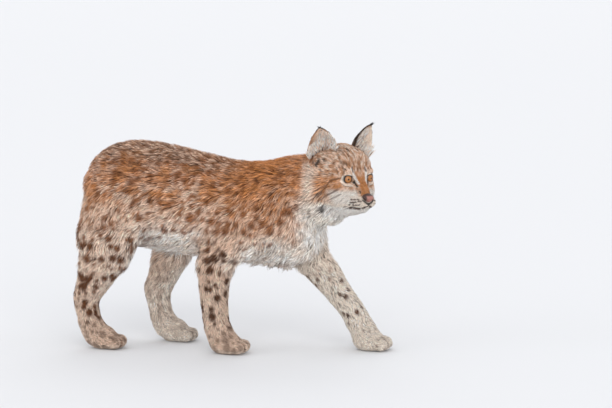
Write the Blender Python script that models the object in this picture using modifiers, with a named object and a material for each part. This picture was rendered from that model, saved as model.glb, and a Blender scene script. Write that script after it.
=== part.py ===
"""A young Eurasian lynx walking, life size, as a still model.

Metres, +X towards the animal's front, +Y to its left, +Z up, standing on z = 0.
The outer shape is the winter coat. The body is modelled whole from lofts and
ellipsoids, fused and smoothed, then parted into named pieces with thin gaps.
"""
import math
import random

import bmesh
import bpy
from mathutils import Matrix, Vector

# Gap between pieces that meet
GAP = 0.0003

# Points closer than this are one point
SLIVER = 0.0000001

# Edge of the cube that a cutter is carved from
REGION_SIZE = 3.0

# How finely the coat is fused, smoothed and faceted
BODY_VOXEL = 0.0036
HEAD_VOXEL = 0.0020
BODY_SMOOTHING = 70
PAW_SMOOTHING = 0.10
PAW_TOP = 0.050
SOFT_RISE = 0.160
HEAD_SMOOTHING = 20
BODY_TRIANGLES = 2700
HEAD_TRIANGLES = 1300
TAIL_TRIANGLES = 260
RING_SIDES = 28
SAMPLES_PER_SPAN = 4

# The head is turned to the animal's right; its axes are ahead, left and up
EYE_POINT = Vector((0.3420, -0.0615, 0.3945))
HEAD_TURN = math.radians(-39.0)

# Trunk stations along X: x, back height, belly height, half width, height of the widest part
TRUNK = (
    (-0.284, 0.418, 0.285, 0.046, 0.36),
    (-0.270, 0.437, 0.258, 0.066, 0.35),
    (-0.245, 0.453, 0.240, 0.080, 0.34),
    (-0.210, 0.464, 0.228, 0.087, 0.335),
    (-0.170, 0.4665, 0.220, 0.088, 0.33),
    (-0.120, 0.461, 0.214, 0.088, 0.325),
    (-0.060, 0.449, 0.210, 0.090, 0.32),
    (0.000, 0.436, 0.206, 0.092, 0.315),
    (0.050, 0.4255, 0.199, 0.091, 0.31),
    (0.100, 0.4245, 0.192, 0.087, 0.30),
    (0.150, 0.427, 0.188, 0.080, 0.295),
    (0.190, 0.425, 0.192, 0.070, 0.29),
    (0.222, 0.405, 0.206, 0.058, 0.285),
    (0.243, 0.365, 0.228, 0.040, 0.285),
)

# Tubes that follow a bone: centre, radius fore and aft, radius sideways
NECK = (
    ((0.120, 0.000, 0.335), 0.090, 0.066),
    ((0.175, 0.000, 0.352), 0.086, 0.068),
    ((0.222, -0.004, 0.362), 0.083, 0.067),
    ((0.258, -0.012, 0.368), 0.081, 0.070),
    ((0.290, -0.026, 0.376), 0.076, 0.068),
)
FORELEG_RIGHT = (
    ((0.085, -0.042, 0.365), 0.050, 0.034),
    ((0.130, -0.058, 0.305), 0.062, 0.037),
    ((0.078, -0.066, 0.258), 0.058, 0.037),
    ((0.026, -0.067, 0.222), 0.048, 0.034),
    ((0.016, -0.065, 0.182), 0.042, 0.032),
    ((0.014, -0.063, 0.130), 0.035, 0.029),
    ((0.017, -0.062, 0.080), 0.031, 0.029),
    ((0.024, -0.062, 0.050), 0.031, 0.031),
    ((0.034, -0.062, 0.026), 0.032, 0.032),
)
FORELEG_LEFT = (
    ((0.085, 0.042, 0.365), 0.050, 0.034),
    ((0.168, 0.058, 0.298), 0.060, 0.037),
    ((0.190, 0.066, 0.248), 0.054, 0.037),
    ((0.202, 0.067, 0.206), 0.045, 0.034),
    ((0.230, 0.066, 0.170), 0.039, 0.031),
    ((0.263, 0.064, 0.130), 0.033, 0.028),
    ((0.298, 0.062, 0.086), 0.030, 0.028),
    ((0.318, 0.062, 0.052), 0.030, 0.030),
    ((0.330, 0.062, 0.026), 0.032, 0.032),
)
HINDLEG_RIGHT = (
    ((-0.205, -0.046, 0.390), 0.066, 0.042),
    ((-0.212, -0.060, 0.330), 0.080, 0.045),
    ((-0.224, -0.068, 0.270), 0.080, 0.041),
    ((-0.235, -0.071, 0.222), 0.068, 0.036),
    ((-0.258, -0.071, 0.165), 0.046, 0.031),
    ((-0.282, -0.070, 0.112), 0.033, 0.026),
    ((-0.277, -0.069, 0.072), 0.028, 0.026),
    ((-0.268, -0.068, 0.044), 0.029, 0.028),
    ((-0.256, -0.068, 0.024), 0.030, 0.029),
)
HINDLEG_LEFT = (
    ((-0.205, 0.046, 0.390), 0.066, 0.042),
    ((-0.185, 0.060, 0.330), 0.080, 0.045),
    ((-0.150, 0.070, 0.275), 0.070, 0.041),
    ((-0.122, 0.074, 0.232), 0.055, 0.037),
    ((-0.136, 0.072, 0.180), 0.043, 0.032),
    ((-0.160, 0.070, 0.118), 0.033, 0.027),
    ((-0.156, 0.069, 0.074), 0.028, 0.026),
    ((-0.146, 0.068, 0.044), 0.029, 0.028),
    ((-0.134, 0.068, 0.024), 0.030, 0.029),
)
TAIL = (
    ((-0.240, 0.010, 0.415), 0.018, 0.018),
    ((-0.268, 0.014, 0.402), 0.020, 0.020),
    ((-0.287, 0.018, 0.376), 0.020, 0.021),
    ((-0.296, 0.020, 0.342), 0.020, 0.021),
    ((-0.299, 0.021, 0.308), 0.019, 0.020),
    ((-0.297, 0.021, 0.284), 0.010, 0.011),
)

# Each paw: middle of the sole, half length, half width
PAWS = {
    "forepaw_right": (Vector((0.046, -0.062, 0.0)), 0.046, 0.038),
    "forepaw_left": (Vector((0.340, 0.062, 0.0)), 0.046, 0.038),
    "hindpaw_right": (Vector((-0.238, -0.068, 0.0)), 0.045, 0.034),
    "hindpaw_left": (Vector((-0.114, 0.068, 0.0)), 0.045, 0.034),
}
TOE_RADIUS = 0.0145

# Regions that are parted from the body: planes as (point, normal pointing out of the region)
NECK_REGION = (((0.205, 0, 0.340), (-0.95, 0, -0.33)), ((0.25, 0, 0.265), (0, 0, -1)))
LEG_REGIONS = {
    "foreleg_right": (((0.072, 0, 0.258), (0.78, 0, 0.62)), ((-0.040, 0, 0.220), (-1, 0, 0.15)),
                      ((0, -0.028, 0), (0, 1, 0))),
    "foreleg_left": (((0.190, 0, 0.232), (-0.30, 0, 1)), ((0.140, 0, 0.200), (-1, 0, 0)),
                     ((0, 0.028, 0), (0, -1, 0))),
    "hindleg_right": (((-0.145, 0, 0.250), (0.50, 0, 0.87)), ((-0.138, 0, 0.220), (1, 0, 0)),
                      ((0, -0.018, 0), (0, 1, 0))),
    "hindleg_left": (((-0.065, 0, 0.262), (0.34, 0, 0.94)), ((-0.048, 0, 0.220), (1, 0, 0)),
                     ((0, 0.018, 0), (0, -1, 0))),
}
# Where each leg bends: planes across it as (point, normal), and the pieces from the top down
LEG_JOINTS = {
    "foreleg_right": (((0.022, 0, 0.190), (0.15, 0, 1)), ((0.020, 0, 0.066), (-0.2, 0, 1))),
    "foreleg_left": (((0.212, 0, 0.190), (-0.7, 0, 1)), ((0.306, 0, 0.070), (-0.5, 0, 1))),
    "hindleg_right": (((-0.248, 0, 0.188), (0.3, 0, 1)), ((-0.275, 0, 0.066), (-0.25, 0, 1))),
    "hindleg_left": (((-0.128, 0, 0.205), (0.3, 0, 1)), ((-0.154, 0, 0.066), (-0.25, 0, 1))),
}
LEG_PIECES = {
    "foreleg_right": ("upper_foreleg_right", "lower_foreleg_right", "forepaw_right"),
    "foreleg_left": ("upper_foreleg_left", "lower_foreleg_left", "forepaw_left"),
    "hindleg_right": ("upper_hindleg_right", "lower_hindleg_right", "hindpaw_right"),
    "hindleg_left": ("upper_hindleg_left", "lower_hindleg_left", "hindpaw_left"),
}

# Head stations: ahead, crown height, jaw height, half width, height of the widest part
SKULL = (
    (-0.130, 0.026, -0.062, 0.050, -0.010),
    (-0.108, 0.052, -0.076, 0.061, -0.010),
    (-0.082, 0.070, -0.084, 0.067, -0.014),
    (-0.056, 0.0745, -0.087, 0.068, -0.020),
    (-0.035, 0.066, -0.086, 0.064, -0.024),
    (-0.018, 0.052, -0.083, 0.056, -0.026),
    (-0.006, 0.033, -0.080, 0.047, -0.030),
    (0.004, 0.011, -0.076, 0.034, -0.036),
    (0.014, -0.009, -0.0715, 0.021, -0.042),
    (0.024, -0.022, -0.068, 0.016, -0.046),
    (0.031, -0.031, -0.062, 0.013, -0.048),
    (0.036, -0.037, -0.057, 0.009, -0.047),
)
# Where the fused head is first cut off, ahead of its axes
HEAD_REAR = -0.112
# Ellipsoids on the skull: centre, radii, lean about the left-hand axis
SKULL_FORMS = {
    "chin": ((0.008, 0.0, -0.0660), (0.0175, 0.0170, 0.0105), 0.0),
    "bridge": ((0.013, 0.0, -0.0175), (0.0320, 0.0125, 0.0110), math.radians(52)),
    "crown": ((-0.056, 0.0, 0.030), (0.058, 0.056, 0.040), 0.0),
}
SKULL_PAIRS = {
    "whisker_pad": ((0.0145, 0.0132, -0.0500), (0.0225, 0.0155, 0.0145), 0.0),
    "brow": ((-0.010, 0.0265, 0.0150), (0.0150, 0.0200, 0.0120), math.radians(25)),
    "cheekbone": ((-0.032, 0.0320, -0.0280), (0.0400, 0.0220, 0.0320), 0.0),
    "temple": ((-0.068, 0.0400, 0.0180), (0.0500, 0.0300, 0.0400), 0.0),
    "ruff": ((-0.076, 0.0450, -0.0420), (0.0460, 0.0270, 0.0400), 0.0),
}
HEAD_BOX = (Vector((0.001, 0.0, 0.040)), Vector((0.099, 0.150, 0.160)))

EYE_PLACE = Vector((-0.0085, 0.0275, 0.0000))
EYE_RADIUS = 0.0130
EYE_SEGMENTS = 14
EYE_TURN = math.radians(13.0)
EYE_LIFT = math.radians(-4.0)
LID_THICKNESS = 0.0026
EYE_OPENING = (0.0135, 0.0085)
EYE_SLANT = math.radians(16.0)
OPENING_SIDES = 20
OPENING_REACH = 0.05

NOSE_PLACE = Vector((0.0335, 0.0, -0.0400))
NOSE_HALF_WIDTH = 0.0135
NOSE_HALF_HEIGHT = 0.0085
NOSE_LEAN = math.radians(28)
# Along the nose pad: distance ahead, share of its full size
NOSE_STATIONS = ((-0.008, 0.90), (-0.002, 1.0), (0.004, 0.88), (0.0075, 0.50))
NOSE_SIDES = 16
# A nostril's path through the pad, and how wide it is along it
NOSTRIL_LINE = ((0.011, 0.0055, -0.0015), (0.004, 0.0062, -0.0010), (0.0035, 0.0100, 0.0005),
                (0.0030, 0.0160, 0.0010))
NOSTRIL_RADII = (0.0026, 0.0023, 0.0016, 0.0013)

# The line between the lips from the middle to one corner, and the cleft under the nose
MOUTH_LINE = (
    (0.0370, 0.000, -0.0580), (0.0355, 0.004, -0.0610), (0.0310, 0.010, -0.0625),
    (0.0235, 0.017, -0.0615), (0.0140, 0.0225, -0.0605), (0.0040, 0.0265, -0.0610),
    (-0.0060, 0.0300, -0.0640), (-0.0130, 0.0340, -0.0660),
)
MOUTH_GROOVE = 0.0016
CLEFT_LINE = ((0.0405, 0, -0.0460), (0.0385, 0, -0.0530), (0.0365, 0, -0.0600))
CLEFT_GROOVE = 0.0012

# Right ear, mirrored for the left: base ends, tip, in the head's axes
EAR_INNER = Vector((-0.046, 0.026, 0.050))
EAR_OUTER = Vector((-0.090, 0.068, 0.034))
EAR_TIP = Vector((-0.053, 0.066, 0.110))
EAR_DEPTH = 0.024
EAR_THICKNESS = 0.0030
EAR_ROWS = 5
EAR_COLUMNS = 6

# Locks of long fur: length, half width, half thickness, how far the tip stands off the coat
LOCK_KINDS = {
    "ruff": (0.056, 0.0120, 0.0030, 0.010),
    "jaw": (0.044, 0.0105, 0.0028, 0.008),
    "ear_tuft": (0.021, 0.0032, 0.0018, 0.000),
    "throat": (0.062, 0.0150, 0.0034, 0.008),
    "bib": (0.070, 0.0170, 0.0038, 0.012),
    "belly": (0.072, 0.0170, 0.0038, 0.018),
    "trousers": (0.066, 0.0150, 0.0036, 0.010),
    "elbow": (0.052, 0.0120, 0.0032, 0.010),
    "tail": (0.050, 0.0105, 0.0028, 0.004),
}
# Rows of locks on the body: piece, kind, first root, last root, count, lie
BODY_ROWS = (
    ("head", "throat", (0.300, -0.060, 0.338), (0.295, 0.034, 0.338), 5, (-0.25, 0.0, -1.0)),
    ("torso", "bib", (0.245, -0.046, 0.262), (0.245, 0.046, 0.262), 5, (0.00, 0.0, -1.0)),
    ("torso", "bib", (0.235, -0.028, 0.232), (0.235, 0.028, 0.232), 3, (-0.35, 0.0, -1.0)),
    ("torso", "belly", (-0.110, 0.000, 0.200), (0.190, 0.000, 0.190), 8, (-0.95, 0.0, -0.30)),
    ("torso", "belly", (-0.105, -0.072, 0.240), (-0.060, -0.070, 0.236), 3, (-0.70, 0.0, -0.70)),
    ("torso", "belly", (-0.085, -0.036, 0.210), (-0.010, -0.020, 0.205), 3, (-0.90, 0.0, -0.40)),
    ("torso", "belly", (-0.010, 0.065, 0.235), (0.130, 0.060, 0.225), 5, (-0.70, 0.0, -0.70)),
    ("torso", "belly", (0.010, 0.035, 0.210), (0.150, 0.030, 0.200), 4, (-0.90, 0.0, -0.40)),
    ("torso", "trousers", (-0.290, -0.080, 0.400), (-0.300, -0.030, 0.405), 3, (-0.20, 0.0, -1.0)),
    ("torso", "trousers", (-0.290, 0.062, 0.400), (-0.280, 0.090, 0.400), 2, (-0.20, 0.0, -1.0)),
    ("upper_hindleg_right", "trousers", (-0.330, -0.050, 0.300), (-0.320, -0.100, 0.290), 3,
     (-0.25, 0.0, -1.0)),
    ("upper_hindleg_right", "trousers", (-0.320, -0.070, 0.262), (-0.310, -0.105, 0.258), 2,
     (-0.30, 0.0, -1.0)),
    ("upper_hindleg_left", "trousers", (-0.330, 0.045, 0.300), (-0.300, 0.100, 0.290), 3,
     (-0.25, 0.0, -1.0)),
    ("upper_hindleg_left", "trousers", (-0.300, 0.065, 0.262), (-0.280, 0.105, 0.262), 2,
     (-0.30, 0.0, -1.0)),
    ("upper_foreleg_right", "elbow", (-0.045, -0.055, 0.262), (-0.045, -0.080, 0.258), 2,
     (-0.25, 0.0, -1.0)),
    ("tail", "tail", (-0.330, -0.002, 0.372), (-0.330, 0.042, 0.372), 3, (0.0, 0.0, -1.0)),
    ("tail", "tail", (-0.330, 0.003, 0.335), (-0.330, 0.038, 0.335), 3, (0.0, 0.0, -1.0)),
)
# Rows round each side of the face: kind, ahead, first and last turn below level, count
FACE_ROWS = (
    ("ruff", -0.060, math.radians(-14), math.radians(66), 6),
    ("ruff", -0.040, math.radians(2), math.radians(58), 5),
    ("jaw", -0.022, math.radians(52), math.radians(84), 2),
)
FACE_LIE = Vector((-0.70, 0.0, -0.85))
# Pieces that a piece's locks stay clear of
LOCK_NEIGHBOURS = {
    "head": ("neck", "torso"),
    "torso": ("head", "neck", "upper_foreleg_right", "upper_foreleg_left",
              "upper_hindleg_right", "upper_hindleg_left", "tail"),
    "upper_hindleg_right": ("torso", "tail", "lower_hindleg_right"),
    "upper_hindleg_left": ("torso", "tail", "lower_hindleg_left"),
    "upper_foreleg_right": ("torso", "lower_foreleg_right"),
    "tail": ("torso", "upper_hindleg_right", "upper_hindleg_left"),
}
LOCK_SINK = 0.007
# Along a lock: share of its length from the root, and share of its full width
LOCK_STATIONS = ((-0.16, 0.65), (0.26, 1.00), (0.66, 0.72))
LOCK_VARIATION = 0.16
SEED = 23

PALETTE = {
    "coat": ((0.55, 0.33, 0.17), 0.85),
    "pale_coat": ((0.80, 0.74, 0.66), 0.85),
    "dark_coat": ((0.05, 0.04, 0.035), 0.85),
    "nose_skin": ((0.45, 0.20, 0.16), 0.45),
    "eye_amber": ((0.55, 0.27, 0.06), 0.10),
}
FINISHES = {
    "nose": "nose_skin", "eye_left": "eye_amber", "eye_right": "eye_amber",
    "ear_left": "pale_coat", "ear_right": "pale_coat", "tail": "dark_coat",
}


def clear_scene():
    for obj in list(bpy.data.objects):
        bpy.data.objects.remove(obj, do_unlink=True)


def collection_named(name):
    made = bpy.data.collections.new(name)
    bpy.context.scene.collection.children.link(made)
    return made


def material_named(name):
    colour, roughness = PALETTE[name]
    made = bpy.data.materials.get(name) or bpy.data.materials.new(name)
    made.use_nodes = True
    shader = made.node_tree.nodes["Principled BSDF"]
    shader.inputs["Base Color"].default_value = (*colour, 1.0)
    shader.inputs["Roughness"].default_value = roughness
    shader.inputs["Metallic"].default_value = 0.0
    return made


def object_from(bm, name, collection):
    """A new object that takes over the bmesh, with its faces pointing out."""
    mesh = bpy.data.meshes.new(name)
    bmesh.ops.recalc_face_normals(bm, faces=bm.faces)
    bm.to_mesh(mesh)
    bm.free()
    obj = bpy.data.objects.new(name, mesh)
    collection.objects.link(obj)
    return obj


def between(rows):
    """Rows of numbers resampled on a Catmull-Rom curve through them."""
    out = []
    for i in range(len(rows) - 1):
        before = rows[max(i - 1, 0)]
        after = rows[min(i + 2, len(rows) - 1)]
        for step in range(SAMPLES_PER_SPAN):
            t = step / SAMPLES_PER_SPAN
            out.append([
                0.5 * (2 * b + (c - a) * t + (2 * a - 5 * b + 4 * c - d) * t * t
                       + (3 * b - a - 3 * c + d) * t ** 3)
                for a, b, c, d in zip(before, rows[i], rows[i + 1], after)
            ])
    out.append(list(rows[-1]))
    return out


def skin_rings(rings, name, collection):
    """One closed mesh through rings of points, with a cap on each end."""
    bm = bmesh.new()
    loops = [[bm.verts.new(point) for point in ring] for ring in rings]
    sides = len(loops[0])
    for low, high in zip(loops, loops[1:]):
        for i in range(sides):
            j = (i + 1) % sides
            bm.faces.new((low[i], low[j], high[j], high[i]))
    for loop in (loops[0], loops[-1]):
        bm.faces.new(loop)
    return object_from(bm, name, collection)


def egg_loft(stations, name, collection, matrix=Matrix()):
    """Egg-shaped sections across X, each widest at its own height."""
    rings = []
    for ahead, top, bottom, half_width, widest in between(stations):
        ring = []
        for i in range(RING_SIDES):
            turn = 2 * math.pi * i / RING_SIDES
            reach = top - widest if math.sin(turn) > 0 else widest - bottom
            ring.append(matrix @ Vector((ahead, half_width * math.cos(turn),
                                         widest + reach * math.sin(turn))))
        rings.append(ring)
    return skin_rings(rings, name, collection)


def limb(stations, name, collection):
    """A tube along its centres, oval in section."""
    rows = between([[*centre, deep, wide] for centre, deep, wide in stations])
    centres = [Vector(row[:3]) for row in rows]
    rings = []
    for i, row in enumerate(rows):
        along = (centres[min(i + 1, len(rows) - 1)] - centres[max(i - 1, 0)]).normalized()
        side = (Vector((0, 1, 0)) - along * along.y).normalized()
        front = along.cross(side)
        deep, wide = row[3], row[4]
        rings.append([
            centres[i]
            + side * (wide * math.cos(2 * math.pi * k / RING_SIDES))
            + front * (deep * math.sin(2 * math.pi * k / RING_SIDES))
            for k in range(RING_SIDES)
        ])
    return skin_rings(rings, name, collection)


def ellipsoid(centre, radii, name, collection, matrix=Matrix(), segments=24):
    bm = bmesh.new()
    bmesh.ops.create_uvsphere(bm, u_segments=segments, v_segments=segments * 2 // 3, radius=1.0)
    bm.transform(matrix @ Matrix.Translation(centre) @ Matrix.Diagonal((*radii, 1.0)))
    return object_from(bm, name, collection)


def box(centre, half_sizes, name, collection, matrix=Matrix()):
    bm = bmesh.new()
    bmesh.ops.create_cube(bm, size=2.0)
    bm.transform(matrix @ Matrix.Translation(centre) @ Matrix.Diagonal((*half_sizes, 1.0)))
    return object_from(bm, name, collection)


def tube_along(points, radii, name, collection):
    """A round tube through the points, from a curve with a bevel."""
    curve = bpy.data.curves.new(name, "CURVE")
    curve.dimensions = "3D"
    curve.bevel_depth = 1.0
    curve.bevel_resolution = 1
    curve.use_fill_caps = True
    spline = curve.splines.new("POLY")
    spline.points.add(len(points) - 1)
    for target, point, radius in zip(spline.points, points, radii):
        target.co = (*point, 1.0)
        target.radius = radius
    obj = bpy.data.objects.new(name + "_curve", curve)
    collection.objects.link(obj)
    graph = bpy.context.evaluated_depsgraph_get()
    mesh = bpy.data.meshes.new_from_object(obj.evaluated_get(graph))
    bpy.data.objects.remove(obj, do_unlink=True)
    bm = bmesh.new()
    bm.from_mesh(mesh)
    bpy.data.meshes.remove(mesh)
    bmesh.ops.remove_doubles(bm, verts=bm.verts, dist=0.00001)
    return object_from(bm, name, collection)


def head_matrix():
    """From the head's own axes (ahead, left, up) to the world."""
    return Matrix.Translation(EYE_POINT) @ Matrix.Rotation(HEAD_TURN, 4, "Z")


def trunk_pieces(collection):
    pieces = [egg_loft(TRUNK, "trunk", collection), limb(NECK, "neck_tube", collection)]
    for side in (-1, 1):
        pieces.append(ellipsoid((-0.250, side * 0.048, 0.360), (0.044, 0.036, 0.080),
                                "buttock", collection))
        pieces.append(ellipsoid((0.120, side * 0.045, 0.345), (0.070, 0.042, 0.075),
                                "shoulder_muscle", collection))
    pieces.append(ellipsoid((0.205, 0.0, 0.268), (0.036, 0.050, 0.056), "breast", collection))
    pieces.append(ellipsoid((-0.060, 0.0, 0.256), (0.150, 0.060, 0.044), "belly_fur", collection))
    return pieces


def paw_pieces(name, collection):
    centre, half_length, half_width = PAWS[name]
    pieces = [
        ellipsoid(centre + Vector((-0.008, 0, 0.024)),
                  (half_length * 0.78, half_width * 0.92, 0.029), name, collection),
        ellipsoid(centre + Vector((0.002, 0, 0.016)),
                  (half_length * 0.95, half_width, 0.020), name, collection),
    ]
    for k in range(4):
        across = (k - 1.5) / 1.5
        reach = half_length - 0.013 - 0.007 * abs(across)
        middle = centre + Vector((reach, across * half_width * 0.68, 0.0155))
        pieces.append(ellipsoid(middle, (TOE_RADIUS * 1.35, TOE_RADIUS * 0.86, TOE_RADIUS * 1.08),
                                name, collection))
    return pieces


def leg_pieces(collection):
    pieces = []
    for stations in (FORELEG_RIGHT, FORELEG_LEFT, HINDLEG_RIGHT, HINDLEG_LEFT):
        pieces.append(limb(stations, "leg_tube", collection))
    for name in PAWS:
        pieces += paw_pieces(name, collection)
    for heel in (Vector((-0.296, -0.070, 0.118)), Vector((-0.178, 0.070, 0.122))):
        pieces.append(ellipsoid(heel, (0.020, 0.019, 0.028), "heel", collection))
    return pieces


def head_pieces(collection):
    place = head_matrix()
    pieces = [egg_loft(SKULL, "skull", collection, place)]
    forms = [(centre, radii, lean) for centre, radii, lean in SKULL_FORMS.values()]
    for (ahead, side, up), radii, lean in SKULL_PAIRS.values():
        forms += [((ahead, side, up), radii, lean), ((ahead, -side, up), radii, lean)]
    for centre, radii, lean in forms:
        stand = place @ Matrix.Translation(centre) @ Matrix.Rotation(lean, 4, "Y")
        pieces.append(ellipsoid((0, 0, 0), radii, "head_form", collection, stand))
    return pieces


def apply_modifiers(obj):
    graph = bpy.context.evaluated_depsgraph_get()
    mesh = bpy.data.meshes.new_from_object(obj.evaluated_get(graph))
    old = obj.data
    obj.modifiers.clear()
    obj.data = mesh
    bpy.data.meshes.remove(old)
    return obj


def fuse(pieces, name, collection, voxel, rounds):
    """The pieces as one smooth closed skin; paws are smoothed less."""
    bm = bmesh.new()
    for piece in pieces:
        bm.from_mesh(piece.data)
    fused = object_from(bm, name, collection)
    remesh = fused.modifiers.new("Remesh", "REMESH")
    remesh.mode = "VOXEL"
    remesh.voxel_size = voxel
    apply_modifiers(fused)
    soft = fused.vertex_groups.new(name="soft")
    for vertex in fused.data.vertices:
        lift = min(max((vertex.co.z - PAW_TOP) / SOFT_RISE, 0.0), 1.0)
        soft.add([vertex.index], PAW_SMOOTHING + (1.0 - PAW_SMOOTHING) * lift, "REPLACE")
    smooth = fused.modifiers.new("Smooth", "SMOOTH")
    smooth.factor = 0.5
    smooth.iterations = rounds
    smooth.vertex_group = "soft"
    return apply_modifiers(fused)


def thin_out(obj, triangles):
    """Fewer, larger facets, kept dense where the form bends."""
    count = sum(len(face.vertices) - 2 for face in obj.data.polygons)
    decimate = obj.modifiers.new("Decimate", "DECIMATE")
    decimate.ratio = min(1.0, triangles / count)
    return apply_modifiers(obj)


def weld_slivers(obj):
    """Triangulated, with needle faces and near-doubled points taken out."""
    bm = bmesh.new()
    bm.from_mesh(obj.data)
    bmesh.ops.remove_doubles(bm, verts=bm.verts, dist=SLIVER)
    bmesh.ops.triangulate(bm, faces=bm.faces)
    bmesh.ops.dissolve_degenerate(bm, dist=SLIVER, edges=bm.edges)
    bmesh.ops.triangulate(bm, faces=bm.faces)
    bm.to_mesh(obj.data)
    bm.free()


def combine(obj, others, operation):
    """Boolean of obj with the other closed meshes, which are used up."""
    group = bpy.data.collections.new("operands")
    for other in others:
        group.objects.link(other)
    boolean = obj.modifiers.new("Boolean", "BOOLEAN")
    boolean.operation = operation
    boolean.solver = "MANIFOLD"
    boolean.operand_type = "COLLECTION"
    boolean.collection = group
    apply_modifiers(obj)
    weld_slivers(obj)
    for other in list(group.objects):
        bpy.data.objects.remove(other, do_unlink=True)
    bpy.data.collections.remove(group)
    return obj


def copy_of(obj, name, collection, grow=0.0):
    """A copy of the mesh, optionally swollen along its normals."""
    bm = bmesh.new()
    bm.from_mesh(obj.data)
    if grow:
        bm.normal_update()
        moves = [(vert, vert.normal * grow) for vert in bm.verts]
        for vert, move in moves:
            vert.co += move
    return object_from(bm, name, collection)


def keep_largest(obj):
    """Only the largest closed surface stays."""
    weld_slivers(obj)
    bm = bmesh.new()
    bm.from_mesh(obj.data)
    unseen = set(bm.verts)
    largest = []
    while unseen:
        todo = [unseen.pop()]
        found = list(todo)
        while todo:
            for edge in todo.pop().link_edges:
                for vert in edge.verts:
                    if vert in unseen:
                        unseen.remove(vert)
                        todo.append(vert)
                        found.append(vert)
        if len(found) > len(largest):
            largest = found
    kept = set(largest)
    bmesh.ops.delete(bm, geom=[vert for vert in bm.verts if vert not in kept], context="VERTS")
    bm.to_mesh(obj.data)
    bm.free()
    return obj


def side_of_plane(obj, point, normal, name, collection):
    """The part of obj on the side that the normal points to, closed again."""
    bm = bmesh.new()
    bm.from_mesh(obj.data)
    normal = Vector(normal).normalized()
    place = Vector(point) + normal * (GAP / 2)
    geometry = list(bm.verts) + list(bm.edges) + list(bm.faces)
    cut = bmesh.ops.bisect_plane(bm, geom=geometry, dist=0.000001, plane_co=place,
                                 plane_no=normal, clear_inner=True)
    rim = [item for item in cut["geom_cut"] if isinstance(item, bmesh.types.BMEdge)]
    bmesh.ops.holes_fill(bm, edges=rim, sides=0)
    return object_from(bm, name, collection)


def region(planes, reach, name, collection):
    """A convex cutter: a large cube cut by planes, moved out by reach."""
    bm = bmesh.new()
    bmesh.ops.create_cube(bm, size=REGION_SIZE)
    for point, normal in planes:
        outward = Vector(normal).normalized()
        geometry = list(bm.verts) + list(bm.edges) + list(bm.faces)
        cut = bmesh.ops.bisect_plane(bm, geom=geometry, dist=0.000001,
                                     plane_co=Vector(point) + outward * reach,
                                     plane_no=outward, clear_outer=True)
        rim = [item for item in cut["geom_cut"] if isinstance(item, bmesh.types.BMEdge)]
        bmesh.ops.holes_fill(bm, edges=rim, sides=0)
    return object_from(bm, name, collection)


def part_region(whole, planes, name, collection):
    """The piece of the whole inside the planes, which leaves the rest with a gap."""
    piece = copy_of(whole, name, collection)
    combine(piece, [region(planes, 0.0, "inside", collection)], "INTERSECT")
    combine(whole, [region(planes, GAP, "outside", collection)], "DIFFERENCE")
    return piece


def split_leg(leg, planes, names, collection):
    """One leg cut across at its joint planes, from the top down."""
    rest = leg
    for (point, normal), name in zip(planes, names):
        side_of_plane(rest, point, normal, name, collection)
        below = side_of_plane(rest, point, -Vector(normal), "below", collection)
        bpy.data.objects.remove(rest, do_unlink=True)
        rest = below
    rest.name = names[-1]


def part_body(whole, collection):
    """The fused body parted into neck, legs with their joints, and torso."""
    behind_head = box(HEAD_BOX[0], HEAD_BOX[1] + Vector((GAP, GAP, GAP)), "cut", collection,
                      head_matrix())
    combine(whole, [behind_head], "DIFFERENCE")
    part_region(whole, NECK_REGION, "neck", collection)
    for name, planes in LEG_REGIONS.items():
        leg = part_region(whole, planes, name, collection)
        split_leg(leg, LEG_JOINTS[name], LEG_PIECES[name], collection)


def eye_matrix(side):
    """From an eye's own axes (gaze, left, up) to the world; side is 1 for the left."""
    centre = Vector((EYE_PLACE.x, side * EYE_PLACE.y, EYE_PLACE.z))
    turn = Matrix.Rotation(side * EYE_TURN, 4, "Z") @ Matrix.Rotation(-EYE_LIFT, 4, "Y")
    return head_matrix() @ Matrix.Translation(centre) @ turn


def almond(side, collection):
    """The almond outline between the lids, drawn out along the gaze."""
    rings = []
    slant = Matrix.Rotation(side * EYE_SLANT, 4, "X")
    for ahead in (0.0, OPENING_REACH):
        ring = []
        for i in range(OPENING_SIDES):
            turn = 2 * math.pi * i / OPENING_SIDES
            across = EYE_OPENING[0] * math.cos(turn)
            up = EYE_OPENING[1] * math.sin(turn) * (1.0 - 0.25 * math.cos(turn) ** 2)
            ring.append(eye_matrix(side) @ slant @ Vector((ahead, across, up)))
        rings.append(ring)
    return skin_rings(rings, "opening", collection)


def make_eyes(head, collection):
    """Eyeballs in sockets, with raised lids around an almond opening."""
    for side, name in ((-1, "eye_right"), (1, "eye_left")):
        place = eye_matrix(side)
        lid_radius = EYE_RADIUS + LID_THICKNESS
        lid = ellipsoid((0, 0, 0), (lid_radius,) * 3, "lid", collection, place, EYE_SEGMENTS)
        combine(head, [lid], "UNION")
        combine(head, [almond(side, collection)], "DIFFERENCE")
        socket_radius = EYE_RADIUS + GAP
        socket = ellipsoid((0, 0, 0), (socket_radius,) * 3, "socket", collection, place,
                           EYE_SEGMENTS)
        combine(head, [socket], "DIFFERENCE")
        ellipsoid((0, 0, 0), (EYE_RADIUS,) * 3, name, collection, place, EYE_SEGMENTS)


def make_mouth(head, collection):
    """The line between the lips, and the cleft under the nose."""
    for side in (-1, 1):
        path = [head_matrix() @ Vector((x, side * y, z)) for x, y, z in MOUTH_LINE]
        groove = tube_along(path, [MOUTH_GROOVE] * len(path), "mouth_groove", collection)
        combine(head, [groove], "DIFFERENCE")
    path = [head_matrix() @ Vector(point) for point in CLEFT_LINE]
    cleft = tube_along(path, [CLEFT_GROOVE] * len(path), "cleft", collection)
    combine(head, [cleft], "DIFFERENCE")


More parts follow.
